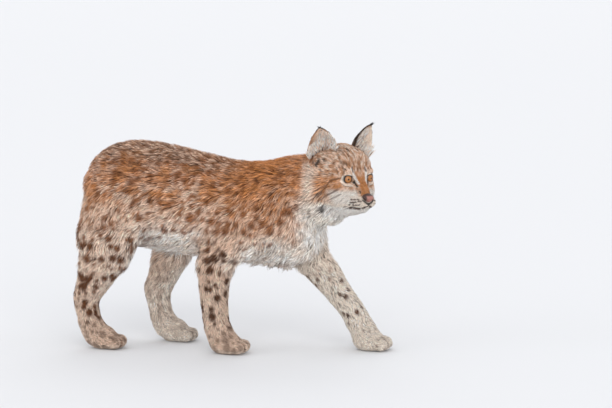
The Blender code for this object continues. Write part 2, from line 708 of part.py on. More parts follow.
def make_nose(head, collection):
    """The bare nose pad, with a nostril cut in each side."""
    place = head_matrix() @ Matrix.Translation(NOSE_PLACE) @ Matrix.Rotation(NOSE_LEAN, 4, "Y")
    rings = []
    for ahead, size in NOSE_STATIONS:
        ring = []
        for i in range(NOSE_SIDES):
            turn = 2 * math.pi * i / NOSE_SIDES
            narrow = 1.0 if math.sin(turn) > 0 else 1.0 - 0.45 * abs(math.sin(turn)) ** 1.5
            ring.append(place @ Vector((ahead, size * NOSE_HALF_WIDTH * narrow * math.cos(turn),
                                        size * NOSE_HALF_HEIGHT * math.sin(turn))))
        rings.append(ring)
    nose = skin_rings(rings, "nose", collection)
    for side in (-1, 1):
        path = [place @ Vector((x, side * y, z)) for x, y, z in NOSTRIL_LINE]
        combine(nose, [tube_along(path, NOSTRIL_RADII, "nostril", collection)], "DIFFERENCE")
    combine(head, [copy_of(nose, "nose_place", collection, GAP)], "DIFFERENCE")


def ear_point(side, across, height):
    """A point of the ear's middle surface; across runs -1 to 1, height 0 to 1."""
    flip = Vector((1, side, 1))
    inner, outer, tip = (Vector(a * b for a, b in zip(point, flip))
                         for point in (EAR_INNER, EAR_OUTER, EAR_TIP))
    base = (inner + outer) / 2
    rise = tip - base
    spread = (outer - inner) / 2
    backward = spread.cross(rise).normalized() * -side
    width = (1.0 - height ** 2.1) ** 0.85 * (1.0 + 0.10 * math.sin(math.pi * min(height * 1.6, 1.0)))
    bow = backward * (EAR_DEPTH * (1.0 - across * across) * (0.35 + 0.65 * width) * (1.0 - height ** 3))
    return base + rise * height + spread * (across * width) + bow


def make_ear(side, name, head, collection):
    """A cupped ear whose base is cut to the head."""
    place = head_matrix()
    bm = bmesh.new()
    grid = []
    for row in range(EAR_ROWS + 1):
        height = 0.985 * row / EAR_ROWS
        grid.append([bm.verts.new(place @ ear_point(side, 2 * column / EAR_COLUMNS - 1, height))
                     for column in range(EAR_COLUMNS + 1)])
    for low, high in zip(grid, grid[1:]):
        for i in range(EAR_COLUMNS):
            bm.faces.new((low[i], low[i + 1], high[i + 1], high[i]))
    ear = object_from(bm, name, collection)
    solidify = ear.modifiers.new("Solidify", "SOLIDIFY")
    solidify.thickness = EAR_THICKNESS
    solidify.offset = 0.0
    apply_modifiers(ear)
    combine(ear, [copy_of(head, "head_place", collection, GAP)], "DIFFERENCE")
    return ear


def make_tail(body, collection):
    """A short, thick tail hanging against the rump."""
    tail = limb(TAIL, "tail", collection)
    thin_out(tail, TAIL_TRIANGLES)
    combine(tail, [copy_of(body, "rump_place", collection, GAP)], "DIFFERENCE")


def make_lock(root, out, lie, kind, luck, surface, collection):
    """One flat lock with a low ridge, sunk at the root, following the coat to its tip."""
    length, half_width, half_thickness, stand = LOCK_KINDS[kind]
    scale = 1.0 + luck.uniform(-LOCK_VARIATION, LOCK_VARIATION)
    along = (lie - out * lie.dot(out)).normalized()
    along = (along + out.cross(along) * luck.uniform(-LOCK_VARIATION, LOCK_VARIATION)).normalized()

    def middle(t):
        """The lock's middle line: over the coat, with its root sunk in it."""
        ahead = root + along * (length * scale * t)
        if surface is None:
            return ahead, out
        height = stand * max(t, 0.0) ** 1.6 + (half_thickness * 0.2 if t > 0 else -LOCK_SINK)
        place, normal = rooted(surface, ahead)
        if (ahead - place).length > length * 0.35:
            return ahead + out * height, out
        return place + normal * height, normal

    bm = bmesh.new()
    rings = []
    for t, fullness in LOCK_STATIONS:
        centre, up = middle(t)
        across = up.cross(along).normalized()
        side = across * (half_width * scale * fullness)
        deep = up * (half_thickness * (0.5 + 0.5 * fullness))
        rings.append([bm.verts.new(centre + move) for move in (side - deep, deep, -side - deep)])
    tip = bm.verts.new(middle(1.0)[0])
    for low, high in zip(rings, rings[1:]):
        for i in range(3):
            j = (i + 1) % 3
            bm.faces.new((low[i], low[j], high[j]))
            bm.faces.new((low[i], high[j], high[i]))
    for i in range(3):
        bm.faces.new((rings[-1][i], rings[-1][(i + 1) % 3], tip))
    bm.faces.new(rings[0])
    return object_from(bm, "lock", collection)


def rooted(surface, near):
    """The closest point of the surface, and the way out of it there."""
    _, place, out, _ = surface.closest_point_on_mesh(near)
    return place, out


def join_locks(piece, locks, collection):
    """The locks, cut clear of the pieces round theirs, joined to it."""
    merged = locks[0]
    combine(merged, locks[1:], "UNION")
    for name in LOCK_NEIGHBOURS[piece]:
        neighbour = copy_of(bpy.data.objects[name], "neighbour", collection, GAP)
        combine(merged, [neighbour], "DIFFERENCE")
    combine(bpy.data.objects[piece], [merged], "UNION")
    keep_largest(bpy.data.objects[piece])


def grow_body_locks(skin, collection):
    """Rows of long locks on the throat, chest, belly, rump, legs and tail."""
    luck = random.Random(SEED)
    by_piece = {}
    for piece, kind, first, last, count, lie in BODY_ROWS:
        surface = bpy.data.objects[piece] if kind == "tail" else skin
        for k in range(count):
            near = Vector(first).lerp(Vector(last), k / (count - 1))
            root, out = rooted(surface, near)
            made = make_lock(root, out, Vector(lie), kind, luck, surface, collection)
            by_piece.setdefault(piece, []).append(made)
    for piece, locks in by_piece.items():
        join_locks(piece, locks, collection)


def grow_face_locks(face, collection):
    """The ruff: locks round each cheek, lying back, out and down."""
    luck = random.Random(SEED + 1)
    place = head_matrix()
    locks = []
    for side in (-1, 1):
        for kind, ahead, first, last, count in FACE_ROWS:
            for k in range(count):
                turn = first + (last - first) * k / (count - 1)
                near = Vector((ahead, side * 0.11 * math.cos(turn), -0.015 - 0.12 * math.sin(turn)))
                root, out = rooted(face, place @ near)
                locks.append(make_lock(root, out, place.to_3x3() @ FACE_LIE, kind, luck, face,
                                       collection))
    join_locks("head", locks, collection)


def grow_ear_tuft(side, ear, collection):
    """A few short black locks at the tip of an ear."""
    luck = random.Random(SEED + 2)
    place = head_matrix()
    tip = place @ ear_point(side, 0.0, 0.93)
    rise = (place @ ear_point(side, 0.0, 0.95) - place @ ear_point(side, 0.0, 0.6)).normalized()
    locks = []
    for k in range(3):
        spread = place.to_3x3() @ Vector((0.0, 0.0016, -0.0020 * abs(k - 1))) * (k - 1)
        out = place.to_3x3() @ Vector((1.0, 0.0, 0.0))
        locks.append(make_lock(tip + spread, out, rise, "ear_tuft", luck, None, collection))
    combine(ear, locks, "UNION")


def flat_soles(obj, collection):
    """The body cut level where it stands."""
    name = obj.name
    obj.name = "uncut"
    cut = side_of_plane(obj, (0, 0, -GAP / 2), (0, 0, 1), name, collection)
    bpy.data.objects.remove(obj, do_unlink=True)
    return cut


def settle(collection):
    """Every piece closed and triangulated, with the box's middle over the origin."""
    low = Vector((1e9, 1e9, 1e9))
    high = -low
    for obj in collection.objects:
        keep_largest(obj)
        obj.data.materials.clear()
        obj.data.materials.append(material_named(FINISHES.get(obj.name, "coat")))
        for vertex in obj.data.vertices:
            low = Vector(map(min, low, vertex.co))
            high = Vector(map(max, high, vertex.co))
    shift = Vector((-(low.x + high.x) / 2, -(low.y + high.y) / 2, 0.0))
    for obj in collection.objects:
        obj.data.transform(Matrix.Translation(shift))
    return shift


def main():
    clear_scene()
    model = collection_named("eurasian_lynx")
    rough = collection_named("rough_forms")
    front = head_pieces(rough) + trunk_pieces(rough)
    legs = leg_pieces(rough)
    whole = fuse(front + legs, "torso", model, BODY_VOXEL, BODY_SMOOTHING)
    head = fuse(front, "fused_head", model, HEAD_VOXEL, HEAD_SMOOTHING)
    for piece in front + legs:
        bpy.data.objects.remove(piece, do_unlink=True)
    thin_out(whole, BODY_TRIANGLES)
    whole = flat_soles(whole, model)
    skin = copy_of(whole, "coat_guide", model)
    place = head_matrix()
    front_half = side_of_plane(head, place @ Vector((HEAD_REAR, 0, 0)),
                               place.to_3x3() @ Vector((1, 0, 0)), "head", model)
    bpy.data.objects.remove(head, do_unlink=True)
    thin_out(front_half, HEAD_TRIANGLES)
    face = copy_of(front_half, "face_guide", model)
    combine(front_half, [box(*HEAD_BOX, "cut", model, place)], "INTERSECT")
    make_tail(whole, model)
    part_body(whole, model)
    make_eyes(front_half, model)
    make_nose(front_half, model)
    make_mouth(front_half, model)
    for side, name in ((-1, "ear_right"), (1, "ear_left")):
        ear = make_ear(side, name, front_half, model)
        grow_ear_tuft(side, ear, model)
    grow_face_locks(face, model)
    grow_body_locks(skin, model)
    for guide in (skin, face):
        bpy.data.objects.remove(guide, do_unlink=True)
    bpy.data.collections.remove(rough)
    return settle(model)


SHIFT = main()
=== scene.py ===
"""The dressed Eurasian lynx: skin, winter coat, eyes, ears, nose and whiskers.

The CAD nodes give the coat's outer surface. One skin lies inside it by the coat's
depth, and tufts grow from that skin back out to the CAD outline.
"""
from __future__ import annotations

import logging
import math
from collections.abc import Iterator
from dataclasses import dataclass, field
from enum import Enum, IntEnum

import bmesh
import bpy
import numpy as np
import openvdb
from mathutils import Matrix, Vector
from mathutils.bvhtree import BVHTree

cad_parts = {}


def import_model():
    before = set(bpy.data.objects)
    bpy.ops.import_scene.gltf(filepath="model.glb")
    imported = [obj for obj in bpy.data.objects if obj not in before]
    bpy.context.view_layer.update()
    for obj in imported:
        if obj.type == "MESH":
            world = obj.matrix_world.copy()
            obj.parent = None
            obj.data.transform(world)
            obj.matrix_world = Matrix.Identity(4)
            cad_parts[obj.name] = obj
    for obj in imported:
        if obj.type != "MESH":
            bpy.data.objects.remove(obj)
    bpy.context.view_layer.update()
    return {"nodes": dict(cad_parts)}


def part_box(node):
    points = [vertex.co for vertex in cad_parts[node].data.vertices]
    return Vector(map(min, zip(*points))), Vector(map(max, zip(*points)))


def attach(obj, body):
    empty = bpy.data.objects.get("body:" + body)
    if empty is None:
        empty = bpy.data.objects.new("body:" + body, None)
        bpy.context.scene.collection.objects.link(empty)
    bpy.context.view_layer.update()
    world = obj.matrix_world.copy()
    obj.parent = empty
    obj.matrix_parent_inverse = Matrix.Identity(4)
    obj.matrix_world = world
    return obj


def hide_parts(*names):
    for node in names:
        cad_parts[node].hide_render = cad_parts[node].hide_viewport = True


LOG = logging.getLogger("lynx")
Array = np.ndarray

# The head's own axes are ahead, left and up, from a point between the eyes
EYE_AHEAD = -0.0085
EYE_TURN = math.radians(13.0)
EYE_LIFT = math.radians(-4.0)
EYE_SLANT = math.radians(16.0)
EYE_OPENING = (0.0135, 0.0085)
HEAD_POINT = (0.3420, -0.0615, 0.3945)

FLESH = (
    "torso", "neck", "head", "tail",
    "upper_foreleg_right", "upper_foreleg_left", "lower_foreleg_right", "lower_foreleg_left",
    "upper_hindleg_right", "upper_hindleg_left", "lower_hindleg_right", "lower_hindleg_left",
    "forepaw_right", "forepaw_left", "hindpaw_right", "hindpaw_left",
)

# Legs as lines down the bone, for the lie of their coat
LEG_LINES = (
    ((0.130, -0.058, 0.305), (0.078, -0.066, 0.258), (0.026, -0.067, 0.222),
     (0.016, -0.065, 0.182), (0.014, -0.063, 0.130), (0.017, -0.062, 0.080),
     (0.026, -0.062, 0.045), (0.066, -0.062, 0.022), (0.100, -0.062, 0.012)),
    ((0.168, 0.058, 0.298), (0.190, 0.066, 0.248), (0.202, 0.067, 0.206), (0.230, 0.066, 0.170),
     (0.263, 0.064, 0.130), (0.298, 0.062, 0.086), (0.320, 0.062, 0.050),
     (0.356, 0.062, 0.024), (0.394, 0.062, 0.012)),
    ((-0.212, -0.060, 0.330), (-0.224, -0.068, 0.270), (-0.235, -0.071, 0.222),
     (-0.258, -0.071, 0.165), (-0.282, -0.070, 0.112), (-0.277, -0.069, 0.072),
     (-0.262, -0.068, 0.044), (-0.222, -0.068, 0.022), (-0.186, -0.068, 0.012)),
    ((-0.185, 0.060, 0.330), (-0.150, 0.070, 0.275), (-0.122, 0.074, 0.232),
     (-0.136, 0.072, 0.180), (-0.160, 0.070, 0.118), (-0.156, 0.069, 0.074),
     (-0.140, 0.068, 0.044), (-0.098, 0.068, 0.022), (-0.062, 0.068, 0.012)),
)

# The paws: the middle ahead and aside, and half the length and width
PAW_PLACES = (
    (0.046, -0.062, 0.046, 0.038), (0.340, 0.062, 0.046, 0.038),
    (-0.238, -0.068, 0.045, 0.034), (-0.114, 0.068, 0.045, 0.034),
)

# The ears in the head's axes: inner and outer end of the base, and the tip
EAR_PLACES = {
    -1: ((-0.046, -0.026, 0.050), (-0.090, -0.068, 0.034), (-0.054, -0.065, 0.107)),
    1: ((-0.052, 0.024, 0.056), (-0.066, 0.072, 0.030), (-0.051, 0.069, 0.108)),
}

# The line between the lips from the middle to one corner, and the cleft under the nose
MOUTH_LINE = (
    (0.0370, 0.000, -0.0580), (0.0355, 0.004, -0.0610), (0.0310, 0.010, -0.0625),
    (0.0235, 0.017, -0.0615), (0.0140, 0.0225, -0.0605), (0.0040, 0.0265, -0.0610),
    (-0.0060, 0.0300, -0.0640), (-0.0130, 0.0340, -0.0660),
)
CLEFT_LINE = ((0.0405, 0.0, -0.0480), (0.0385, 0.0, -0.0530), (0.0370, 0.0, -0.0600))

# Rows of whiskers: height, and the first and last place ahead and aside
WHISKER_ROWS = (
    (-0.0415, (0.0280, 0.0185), (0.0080, 0.0285)),
    (-0.0475, (0.0310, 0.0190), (0.0060, 0.0300)),
    (-0.0530, (0.0320, 0.0180), (0.0070, 0.0280)),
)

# The dark dots at the whiskers' roots, on the outline of the upper lip
WHISKER_DOTS = (
    (0.0088, 0.0279, -0.0434), (0.0165, 0.0257, -0.0427), (0.0254, 0.0227, -0.0417),
    (0.0075, 0.0288, -0.0506), (0.0145, 0.0280, -0.0497), (0.0215, 0.0270, -0.0483),
    (0.0289, 0.0235, -0.0459), (0.0326, 0.0196, -0.0456),
    (0.0045, 0.0300, -0.0560), (0.0137, 0.0268, -0.0556), (0.0215, 0.0250, -0.0550),
    (0.0290, 0.0226, -0.0545),
)

# The dark edge of the lower lip
LIP_LINE = (
    (-0.0051, 0.0354, -0.0620), (-0.0003, 0.0283, -0.0640), (0.0086, 0.0202, -0.0642),
    (0.0170, 0.0158, -0.0640), (0.0233, 0.0125, -0.0635), (0.0308, 0.0074, -0.0605),
)

# How far aside the outer gaps between the toes are, in half widths of the paw
TOE_SPREAD = 0.45

# The lowest that a tuft may reach over the floor
LOWEST = 0.0004

# The skin's creases: the line, half its width and its depth
CREASES = ((MOUTH_LINE, 0.0026, 0.0024), (CLEFT_LINE, 0.0022, 0.0014))

# The nose pad's middle in the head's axes, and the half sizes that stay free of fur
NOSE_MIDDLE = (0.0370, 0.0, -0.0405)
NOSE_BARE = (0.013, 0.0140, 0.0105)

# The coat on the plain flank and back, then in each part in the order they are laid on:
# how deep it is, how long its tufts are and how far apart their roots stand
COAT_DEPTH = {
    "plain": 0.0115, "belly": 0.016, "chest": 0.015, "rear": 0.014, "leg": 0.0065, "paw": 0.0035,
    "head": 0.0080, "ruff": 0.0125, "crown": 0.0065, "face": 0.0042, "muzzle": 0.0026,
    "tail": 0.010,
}
COAT_LENGTH = {
    "plain": 0.0260, "belly": 0.038, "chest": 0.036, "rear": 0.034, "leg": 0.0140, "paw": 0.0070,
    "head": 0.0190, "ruff": 0.0350, "crown": 0.0125, "face": 0.0085, "muzzle": 0.0046,
    "tail": 0.026,
}
COAT_SPACING = {
    "plain": 0.0029, "belly": 0.0033, "chest": 0.0031, "rear": 0.0030, "leg": 0.0020,
    "paw": 0.0016, "head": 0.0023, "ruff": 0.0027, "crown": 0.0018, "face": 0.00155,
    "muzzle": 0.00125, "tail": 0.0027,
}

# How dark a tuft of the coat is at its root, beside its next ring: painted shade deep in the coat
ROOT_PAINTED_SHADE = 0.52

# No part of a tuft is paler than this
PALEST = 0.95


class Side(Enum):
    """The animal's right or left, as the sign of the left-hand axis."""

    RIGHT = -1
    LEFT = 1


class Pattern(IntEnum):
    """The repeatable patterns of noise and spots, by the number that sets each apart."""

    GRAIN = 11
    FINE_GRAIN = 12
    BROAD = 13
    FROST = 15
    PATCH = 17
    FACE_GRAIN = 21
    FACE_STREAK = 22
    LIP = 24
    BODY_SPOTS = 31
    SWIRL = 41
    FINE_SWIRL = 42
    THICKNESS = 43
    SMALL_SPOTS = 51
    LEG_SPOTS = 71
    FAR_LEG_SPOTS = 91


class Drawn(Enum):
    """Lines and spots of one side of the head: places, half width, strength."""

    EYE_LINE = (((-0.0030, 0.0405, 0.0035), (-0.0120, 0.0490, 0.0015), (-0.0210, 0.0545, -0.0010),
                 (-0.0290, 0.0595, -0.0050), (-0.0372, 0.0639, -0.0158),
                 (-0.0480, 0.0700, -0.0290), (-0.0578, 0.0755, -0.0406)), 0.0025, 0.75)
    CHEEK_LINE = (((-0.0110, 0.0510, -0.0225), (-0.0278, 0.0601, -0.0326),
                   (-0.0424, 0.0654, -0.0400), (-0.0600, 0.0690, -0.0520)), 0.0024, 0.70)
    LOW_LINE = (((-0.0060, 0.0470, -0.0330), (-0.0220, 0.0560, -0.0420),
                 (-0.0400, 0.0620, -0.0510)), 0.0019, 0.55)
    BROW_LINE = (((-0.0340, 0.0110, 0.0690), (-0.0217, 0.0121, 0.0605), (-0.0080, 0.0150, 0.0360),
                  (0.0016, 0.0172, 0.0154)), 0.0027, 0.80)
    MIDDLE_LINE = (((-0.0300, 0.0040, 0.0660), (-0.0150, 0.0045, 0.0500),
                    (0.0010, 0.0035, 0.0182)), 0.0020, 0.60)
    SIDE_LINE = (((-0.0360, 0.0260, 0.0620), (-0.0235, 0.0259, 0.0567),
                  (-0.0070, 0.0275, 0.0300)), 0.0024, 0.70)
    TEAR_LINE = (((0.0018, 0.0222, 0.0085), (0.0052, 0.0190, -0.0010), (0.0095, 0.0166, -0.0105),
                  (0.0130, 0.0152, -0.0160)), 0.0021, 0.95)
    INNER_CORNER = (((0.0030, 0.0238, 0.0022), (0.0045, 0.0226, -0.0022),
                     (0.0072, 0.0198, -0.0068)), 0.0034, 0.95)
    BRIDGE_SPOT = (((0.0195, 0.0135, -0.0255), (0.0215, 0.0130, -0.0290)), 0.0019, 0.90)
    BROW_SPOT = (((-0.0036, 0.0347, 0.0235), (-0.0020, 0.0350, 0.0210)), 0.0020, 0.85)
    UNDER_LINE = (((-0.0090, 0.0450, -0.0085), (0.0011, 0.0389, -0.0149),
                   (0.0069, 0.0257, -0.0165)), 0.0011, 0.60)
    NOSTRIL_LINE = (((0.0315, 0.0150, -0.0375), (0.0345, 0.0145, -0.0430),
                     (0.0360, 0.0084, -0.0488), (0.0360, 0.0017, -0.0530)), 0.0030, 0.97)
    RUFF_SPOT = (((-0.0560, 0.0600, -0.0700), (-0.0610, 0.0620, -0.0760)), 0.0080, 0.85)
    REAR_SPOT = (((-0.0833, 0.0740, -0.0800), (-0.0850, 0.0740, -0.0830)), 0.0040, 0.70)
    EAR_SPOT = (((-0.0613, 0.0650, 0.0360), (-0.0650, 0.0675, 0.0290)), 0.0060, 0.95)
    EAR_EDGE = (((-0.0800, 0.0690, 0.0480), (-0.0810, 0.0700, 0.0330)), 0.0052, 0.95)
    TEMPLE_SPOT = (((-0.0500, 0.0600, 0.0430), (-0.0470, 0.0600, 0.0400)), 0.0030, 0.85)


class Tone(Enum):
    """Named colours of the coat, linear."""

    RUST = (0.285, 0.092, 0.022)
    ORANGE = (0.565, 0.215, 0.055)
    TAWNY = (0.540, 0.275, 0.145)
    PALE = (0.800, 0.580, 0.445)
    SAND = (0.680, 0.500, 0.380)
    CREAM = (0.870, 0.750, 0.640)
    WHITE = (0.950, 0.925, 0.895)
    BROWN = (0.090, 0.034, 0.013)
    BLACK = (0.012, 0.009, 0.007)
    PINK = (0.330, 0.150, 0.120)

    def __call__(self, share: float = 1.0) -> Array:
        """The colour as an array, darker or lighter by a share."""
        return np.array(self.value, float) * share


# Pale strips of the face: the line, its tone, how strong it is, and where it ends and is full
PALE_STRIPS = (
    (((-0.0010, 0.0180, 0.0220), (0.0028, 0.0165, 0.0106), (0.0069, 0.0136, -0.0001),
      (0.0126, 0.0112, -0.0095)), Tone.WHITE, 0.75, 0.0038, 0.0016),
    (((-0.0078, 0.0443, -0.0038), (-0.0012, 0.0398, -0.0110), (0.0036, 0.0327, -0.0140),
      (0.0076, 0.0236, -0.0142)), Tone.CREAM, 0.80, 0.0030, 0.0014),
)


def smooth(values: Array, low: float, high: float) -> Array:
    """A soft step from 0 at low to 1 at high.

    Args:
        values: Numbers to place between the limits.
        low: Where the step starts; it may be the larger of the two.
        high: Where the step ends.

    Returns:
        Numbers from 0 to 1.
    """
    share = np.clip((np.asarray(values, float) - low) / (high - low), 0.0, 1.0)
    return share * share * (3.0 - 2.0 * share)


def mix(first: Array, second: Array, share: Array) -> Array:
    """Rows of first and second blended by one share a row.

    Args:
        first: Colours or vectors, one a row, or just one.
        second: The same, taken where share is 1.
        share: One number a row.

    Returns:
        The blended rows.
    """
    weight = np.asarray(share, float)[..., None]
    return first * (1.0 - weight) + second * weight


def unit(rows: Array) -> Array:
    """Rows scaled to length 1."""
    return rows / np.maximum(np.linalg.norm(rows, axis=-1, keepdims=True), 1e-12)


def lattice(cells: Array, salt: int) -> Array:
    """A repeatable random number from 0 to 1 for each whole-number cell.

    Args:
        cells: Rows of three whole numbers.
        salt: A number that makes one pattern differ from another.

    Returns:
        One number a row.
    """
    a = cells.astype(np.int64)
    mixed = (a[..., 0] * 73856093) ^ (a[..., 1] * 19349663) ^ (a[..., 2] * 83492791)
    mixed = mixed ^ (salt * 2654435761)
    mixed = (mixed ^ (mixed >> 13)) * 1274126177
    mixed = mixed ^ (mixed >> 16)
    return (mixed & 0xFFFFF) / float(0xFFFFF)


def corners(part: Array) -> Iterator[tuple[Array, Array]]:
    """The eight corners of a cell, with their weights for points inside it.

    Args:
        part: How far across the cell each point is, one point a row.

    Yields:
        The steps to a corner, and its weight for each point.
    """
    for corner in range(8):
        step = np.array([corner & 1, (corner >> 1) & 1, (corner >> 2) & 1])
        yield step, np.prod(np.where(step == 1, part, 1.0 - part), axis=1)


def soft_noise(points: Array, size: float, salt: int) -> Array:
    """Smooth noise from 0 to 1.

    Args:
        points: Rows of places in metres.
        size: The size of one blotch, in metres.
        salt: Which pattern to use.

    Returns:
        One number a row.
    """
    place = points / size
    cell = np.floor(place)
    part = place - cell
    part = part * part * (3.0 - 2.0 * part)
    total = np.zeros(len(points))
    for step, weight in corners(part):
        total += weight * lattice(cell + step, salt)
    return total


def spots(points: Array, spacing: float, radius: float, salt: int) -> Array:
    """Scattered round spots of different sizes.

    Args:
        points: Rows of places in metres.
        spacing: The usual distance between spots.
        radius: The usual radius of one.
        salt: Which pattern to use.

    Returns:
        For each row, 1 in the middle of a spot and 0 outside it.
    """
    cell = np.floor(points / spacing)
    best = np.zeros(len(points))
    for corner in range(27):
        step = np.array([corner % 3 - 1, (corner // 3) % 3 - 1, corner // 9 - 1])
        here = cell + step
        centre = np.stack([lattice(here, salt + k) for k in range(3)], axis=1)
        centre = (here + 0.15 + 0.7 * centre) * spacing
        size = radius * (0.45 + 0.85 * lattice(here, salt + 7))
        away = np.linalg.norm(points - centre, axis=1)
        best = np.maximum(best, smooth(away, size * 1.15, size * 0.65))
    return best


def near_line(points: Array, line: Array) -> tuple[Array, Array, Array]:
    """How far points are from a line of straight spans.

    Args:
        points: Rows of places.
        line: Rows of the line's own points.

    Returns:
        The distance, the direction of the nearest span and the share of the way
        along the line.
    """
    best = np.full(len(points), 1e9)
    way = np.zeros((len(points), line.shape[1]))
    along = np.zeros(len(points))
    spans = len(line) - 1
    for k in range(spans):
        span = line[k + 1] - line[k]
        share = np.clip(((points - line[k]) @ span) / (span @ span), 0.0, 1.0)
        away = np.linalg.norm(points - (line[k] + share[:, None] * span), axis=1)
        closer = away < best
        best = np.where(closer, away, best)
        way[closer] = span / np.linalg.norm(span)
        along = np.where(closer, (k + share) / spans, along)
    return best, way, along


@dataclass
class Stand:
    """Where the model and its head stand, read from the CAD's eyes."""

    shift: Array = field(default_factory=lambda: np.zeros(3))
    head: Matrix = field(default_factory=Matrix)

    def read(self) -> None:
        """Takes the head's axes from the two eyeballs."""
        centres = {}
        for side, name in ((Side.RIGHT, "eye_right"), (Side.LEFT, "eye_left")):
            low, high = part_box(name)
            centres[side] = (low + high) / 2
        left = centres[Side.LEFT] - centres[Side.RIGHT]
        left.z = 0.0
        left.normalize()
        ahead = left.cross(Vector((0, 0, 1)))
        origin = (centres[Side.LEFT] + centres[Side.RIGHT]) / 2 - ahead * EYE_AHEAD
        axes = Matrix((ahead, left, Vector((0, 0, 1)))).transposed()
        self.head = Matrix.Translation(origin) @ axes.to_4x4()
        self.shift = np.array(origin) - np.array(HEAD_POINT)

    def in_head(self, points: Array) -> Array:
        """World points in the head's axes."""
        turn = np.array(self.head.to_3x3())
        return (points - np.array(self.head.translation)) @ turn

    def from_head(self, points: Array) -> Array:
        """Points of the head's axes in the world."""
        turn = np.array(self.head.to_3x3())
        return points @ turn.T + np.array(self.head.translation)

    def way_from_head(self, ways: Array) -> Array:
        """Directions of the head's axes in the world."""
        return ways @ np.array(self.head.to_3x3()).T

    def plain(self, points: Array) -> Array:
        """World points before the model was centred."""
        return points - self.shift

    def eye(self, side: Side) -> Matrix:
        """From one eye's axes (gaze, left, up) to the world.

        Args:
            side: Which eye.

        Returns:
            The matrix that places it.
        """
        low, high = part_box("eye_right" if side is Side.RIGHT else "eye_left")
        turn = (Matrix.Rotation(side.value * EYE_TURN, 4, "Z")
                @ Matrix.Rotation(-EYE_LIFT, 4, "Y")
                @ Matrix.Rotation(side.value * EYE_SLANT, 4, "X"))
        return Matrix.Translation((low + high) / 2) @ self.head.to_3x3().to_4x4() @ turn


def opening_share(across: Array, up: Array) -> Array:
    """How far out of the almond opening a direction is: 1 on its edge.

    Args:
        across: Metres to the eye's left.
        up: Metres above its middle.

    Returns:
        One number a row.
    """
    side = np.clip(across / EYE_OPENING[0], -1.0, 1.0)
    height = EYE_OPENING[1] * (1.0 - 0.25 * side ** 2)
    return np.sqrt((across / EYE_OPENING[0]) ** 2 + (up / height) ** 2)


@dataclass
class Volume:
    """Distances on an even grid."""

    low: Array
    cell: float
    values: Array

    def sample(self, points: Array) -> Array:
        """The value at each point, blended from the eight grid points round it.

        Args:
            points: World places, one a row.

        Returns:
            One number a row.
        """
        place = (points - self.low) / self.cell
        limit = np.array(self.values.shape) - 2
        base = np.clip(np.floor(place).astype(int), 0, limit)
        part = np.clip(place - base, 0.0, 1.0)
        total = np.zeros(len(points))
        for step, weight in corners(part):
            at = base + step
            total += weight * self.values[at[:, 0], at[:, 1], at[:, 2]]
        return total

    def slope(self, points: Array) -> Array:
        """The direction in which the value grows fastest.

        Args:
            points: World places, one a row.

        Returns:
            One direction a row.
        """
        rows = []
        for axis in range(3):
            step = np.zeros(3)
            step[axis] = self.cell
            rows.append(self.sample(points + step) - self.sample(points - step))
        return unit(np.stack(rows, axis=1))


